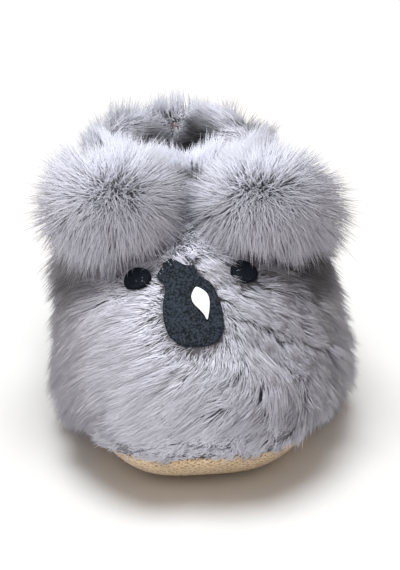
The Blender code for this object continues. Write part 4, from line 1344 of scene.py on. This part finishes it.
# %% Floor, light and camera
FLOOR_COLOUR, FLOOR_HALF = (0.80, 0.80, 0.80, 1), 6.0
SKY_COLOUR, SKY_STRENGTH = (1.0, 0.87, 0.76, 1), 0.52
AZIMUTH, ELEVATION, DISTANCE = math.radians(-6), math.radians(28), 0.85
SENSOR_MM, LENS_MM, AIM = 36.0, 188.0, Vector((0.0, -0.050, 0.0315))
floor_material, tree, shader = new_material("pale_floor")
shader.inputs["Base Color"].default_value = FLOOR_COLOUR
shader.inputs["Roughness"].default_value = 1.0
shader.inputs["Specular IOR Level"].default_value = 0.0
floor = mesh_object(
    "floor",
    [(-FLOOR_HALF, -FLOOR_HALF, 0), (FLOOR_HALF, -FLOOR_HALF, 0), (FLOOR_HALF, FLOOR_HALF, 0),
     (-FLOOR_HALF, FLOOR_HALF, 0)],
    [(0, 1, 2, 3)], floor_material,
)
floor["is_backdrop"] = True
world = bpy.data.worlds.new("studio")
world.use_nodes = True
world.node_tree.nodes["Background"].inputs["Color"].default_value = SKY_COLOUR
world.node_tree.nodes["Background"].inputs["Strength"].default_value = SKY_STRENGTH
bpy.context.scene.world = world
bpy.context.scene.view_settings.view_transform = "Standard"


def lamp(name, place, aim, size, watts, colour):
    light = bpy.data.lights.new(name, "AREA")
    light.shape, light.size, light.energy, light.color = "DISK", size, watts, colour
    obj = bpy.data.objects.new(name, light)
    obj.location = place
    obj.rotation_euler = (Vector(aim) - Vector(place)).to_track_quat("-Z", "Y").to_euler()
    bpy.context.scene.collection.objects.link(obj)
    return obj


lamp("key_lamp", (-0.12, 0.03, 1.60), (0, 0.02, 0.0), 1.05, 26.0, (0.92, 0.97, 1.0))
front = lamp("front_lamp", (-0.5, -1.1, 0.75), (0, -0.05, 0.03), 0.7, 10.0, (1.0, 1.0, 1.0))
lit = bpy.data.collections.new("lit_by_front_lamp")
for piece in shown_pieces():
    lit.objects.link(piece)
front.light_linking.receiver_collection = lit
camera_data = bpy.data.cameras.new("camera")
camera_data.sensor_width, camera_data.lens = SENSOR_MM, LENS_MM
camera = bpy.data.objects.new("camera", camera_data)
back = Vector((
    math.sin(AZIMUTH) * math.cos(ELEVATION), -math.cos(AZIMUTH) * math.cos(ELEVATION),
    math.sin(ELEVATION),
))
camera.location = AIM + back * DISTANCE
camera.rotation_euler = (-back).to_track_quat("-Z", "Y").to_euler()
bpy.context.scene.collection.objects.link(camera)
bpy.context.scene.camera = camera
print("camera at", [round(v, 3) for v in camera.location])

# %% [markdown]
# Last, the helpers that only served as patterns go.

# %% Finish
for helper in (one_hair, overcast):
    bpy.data.objects.remove(helper)
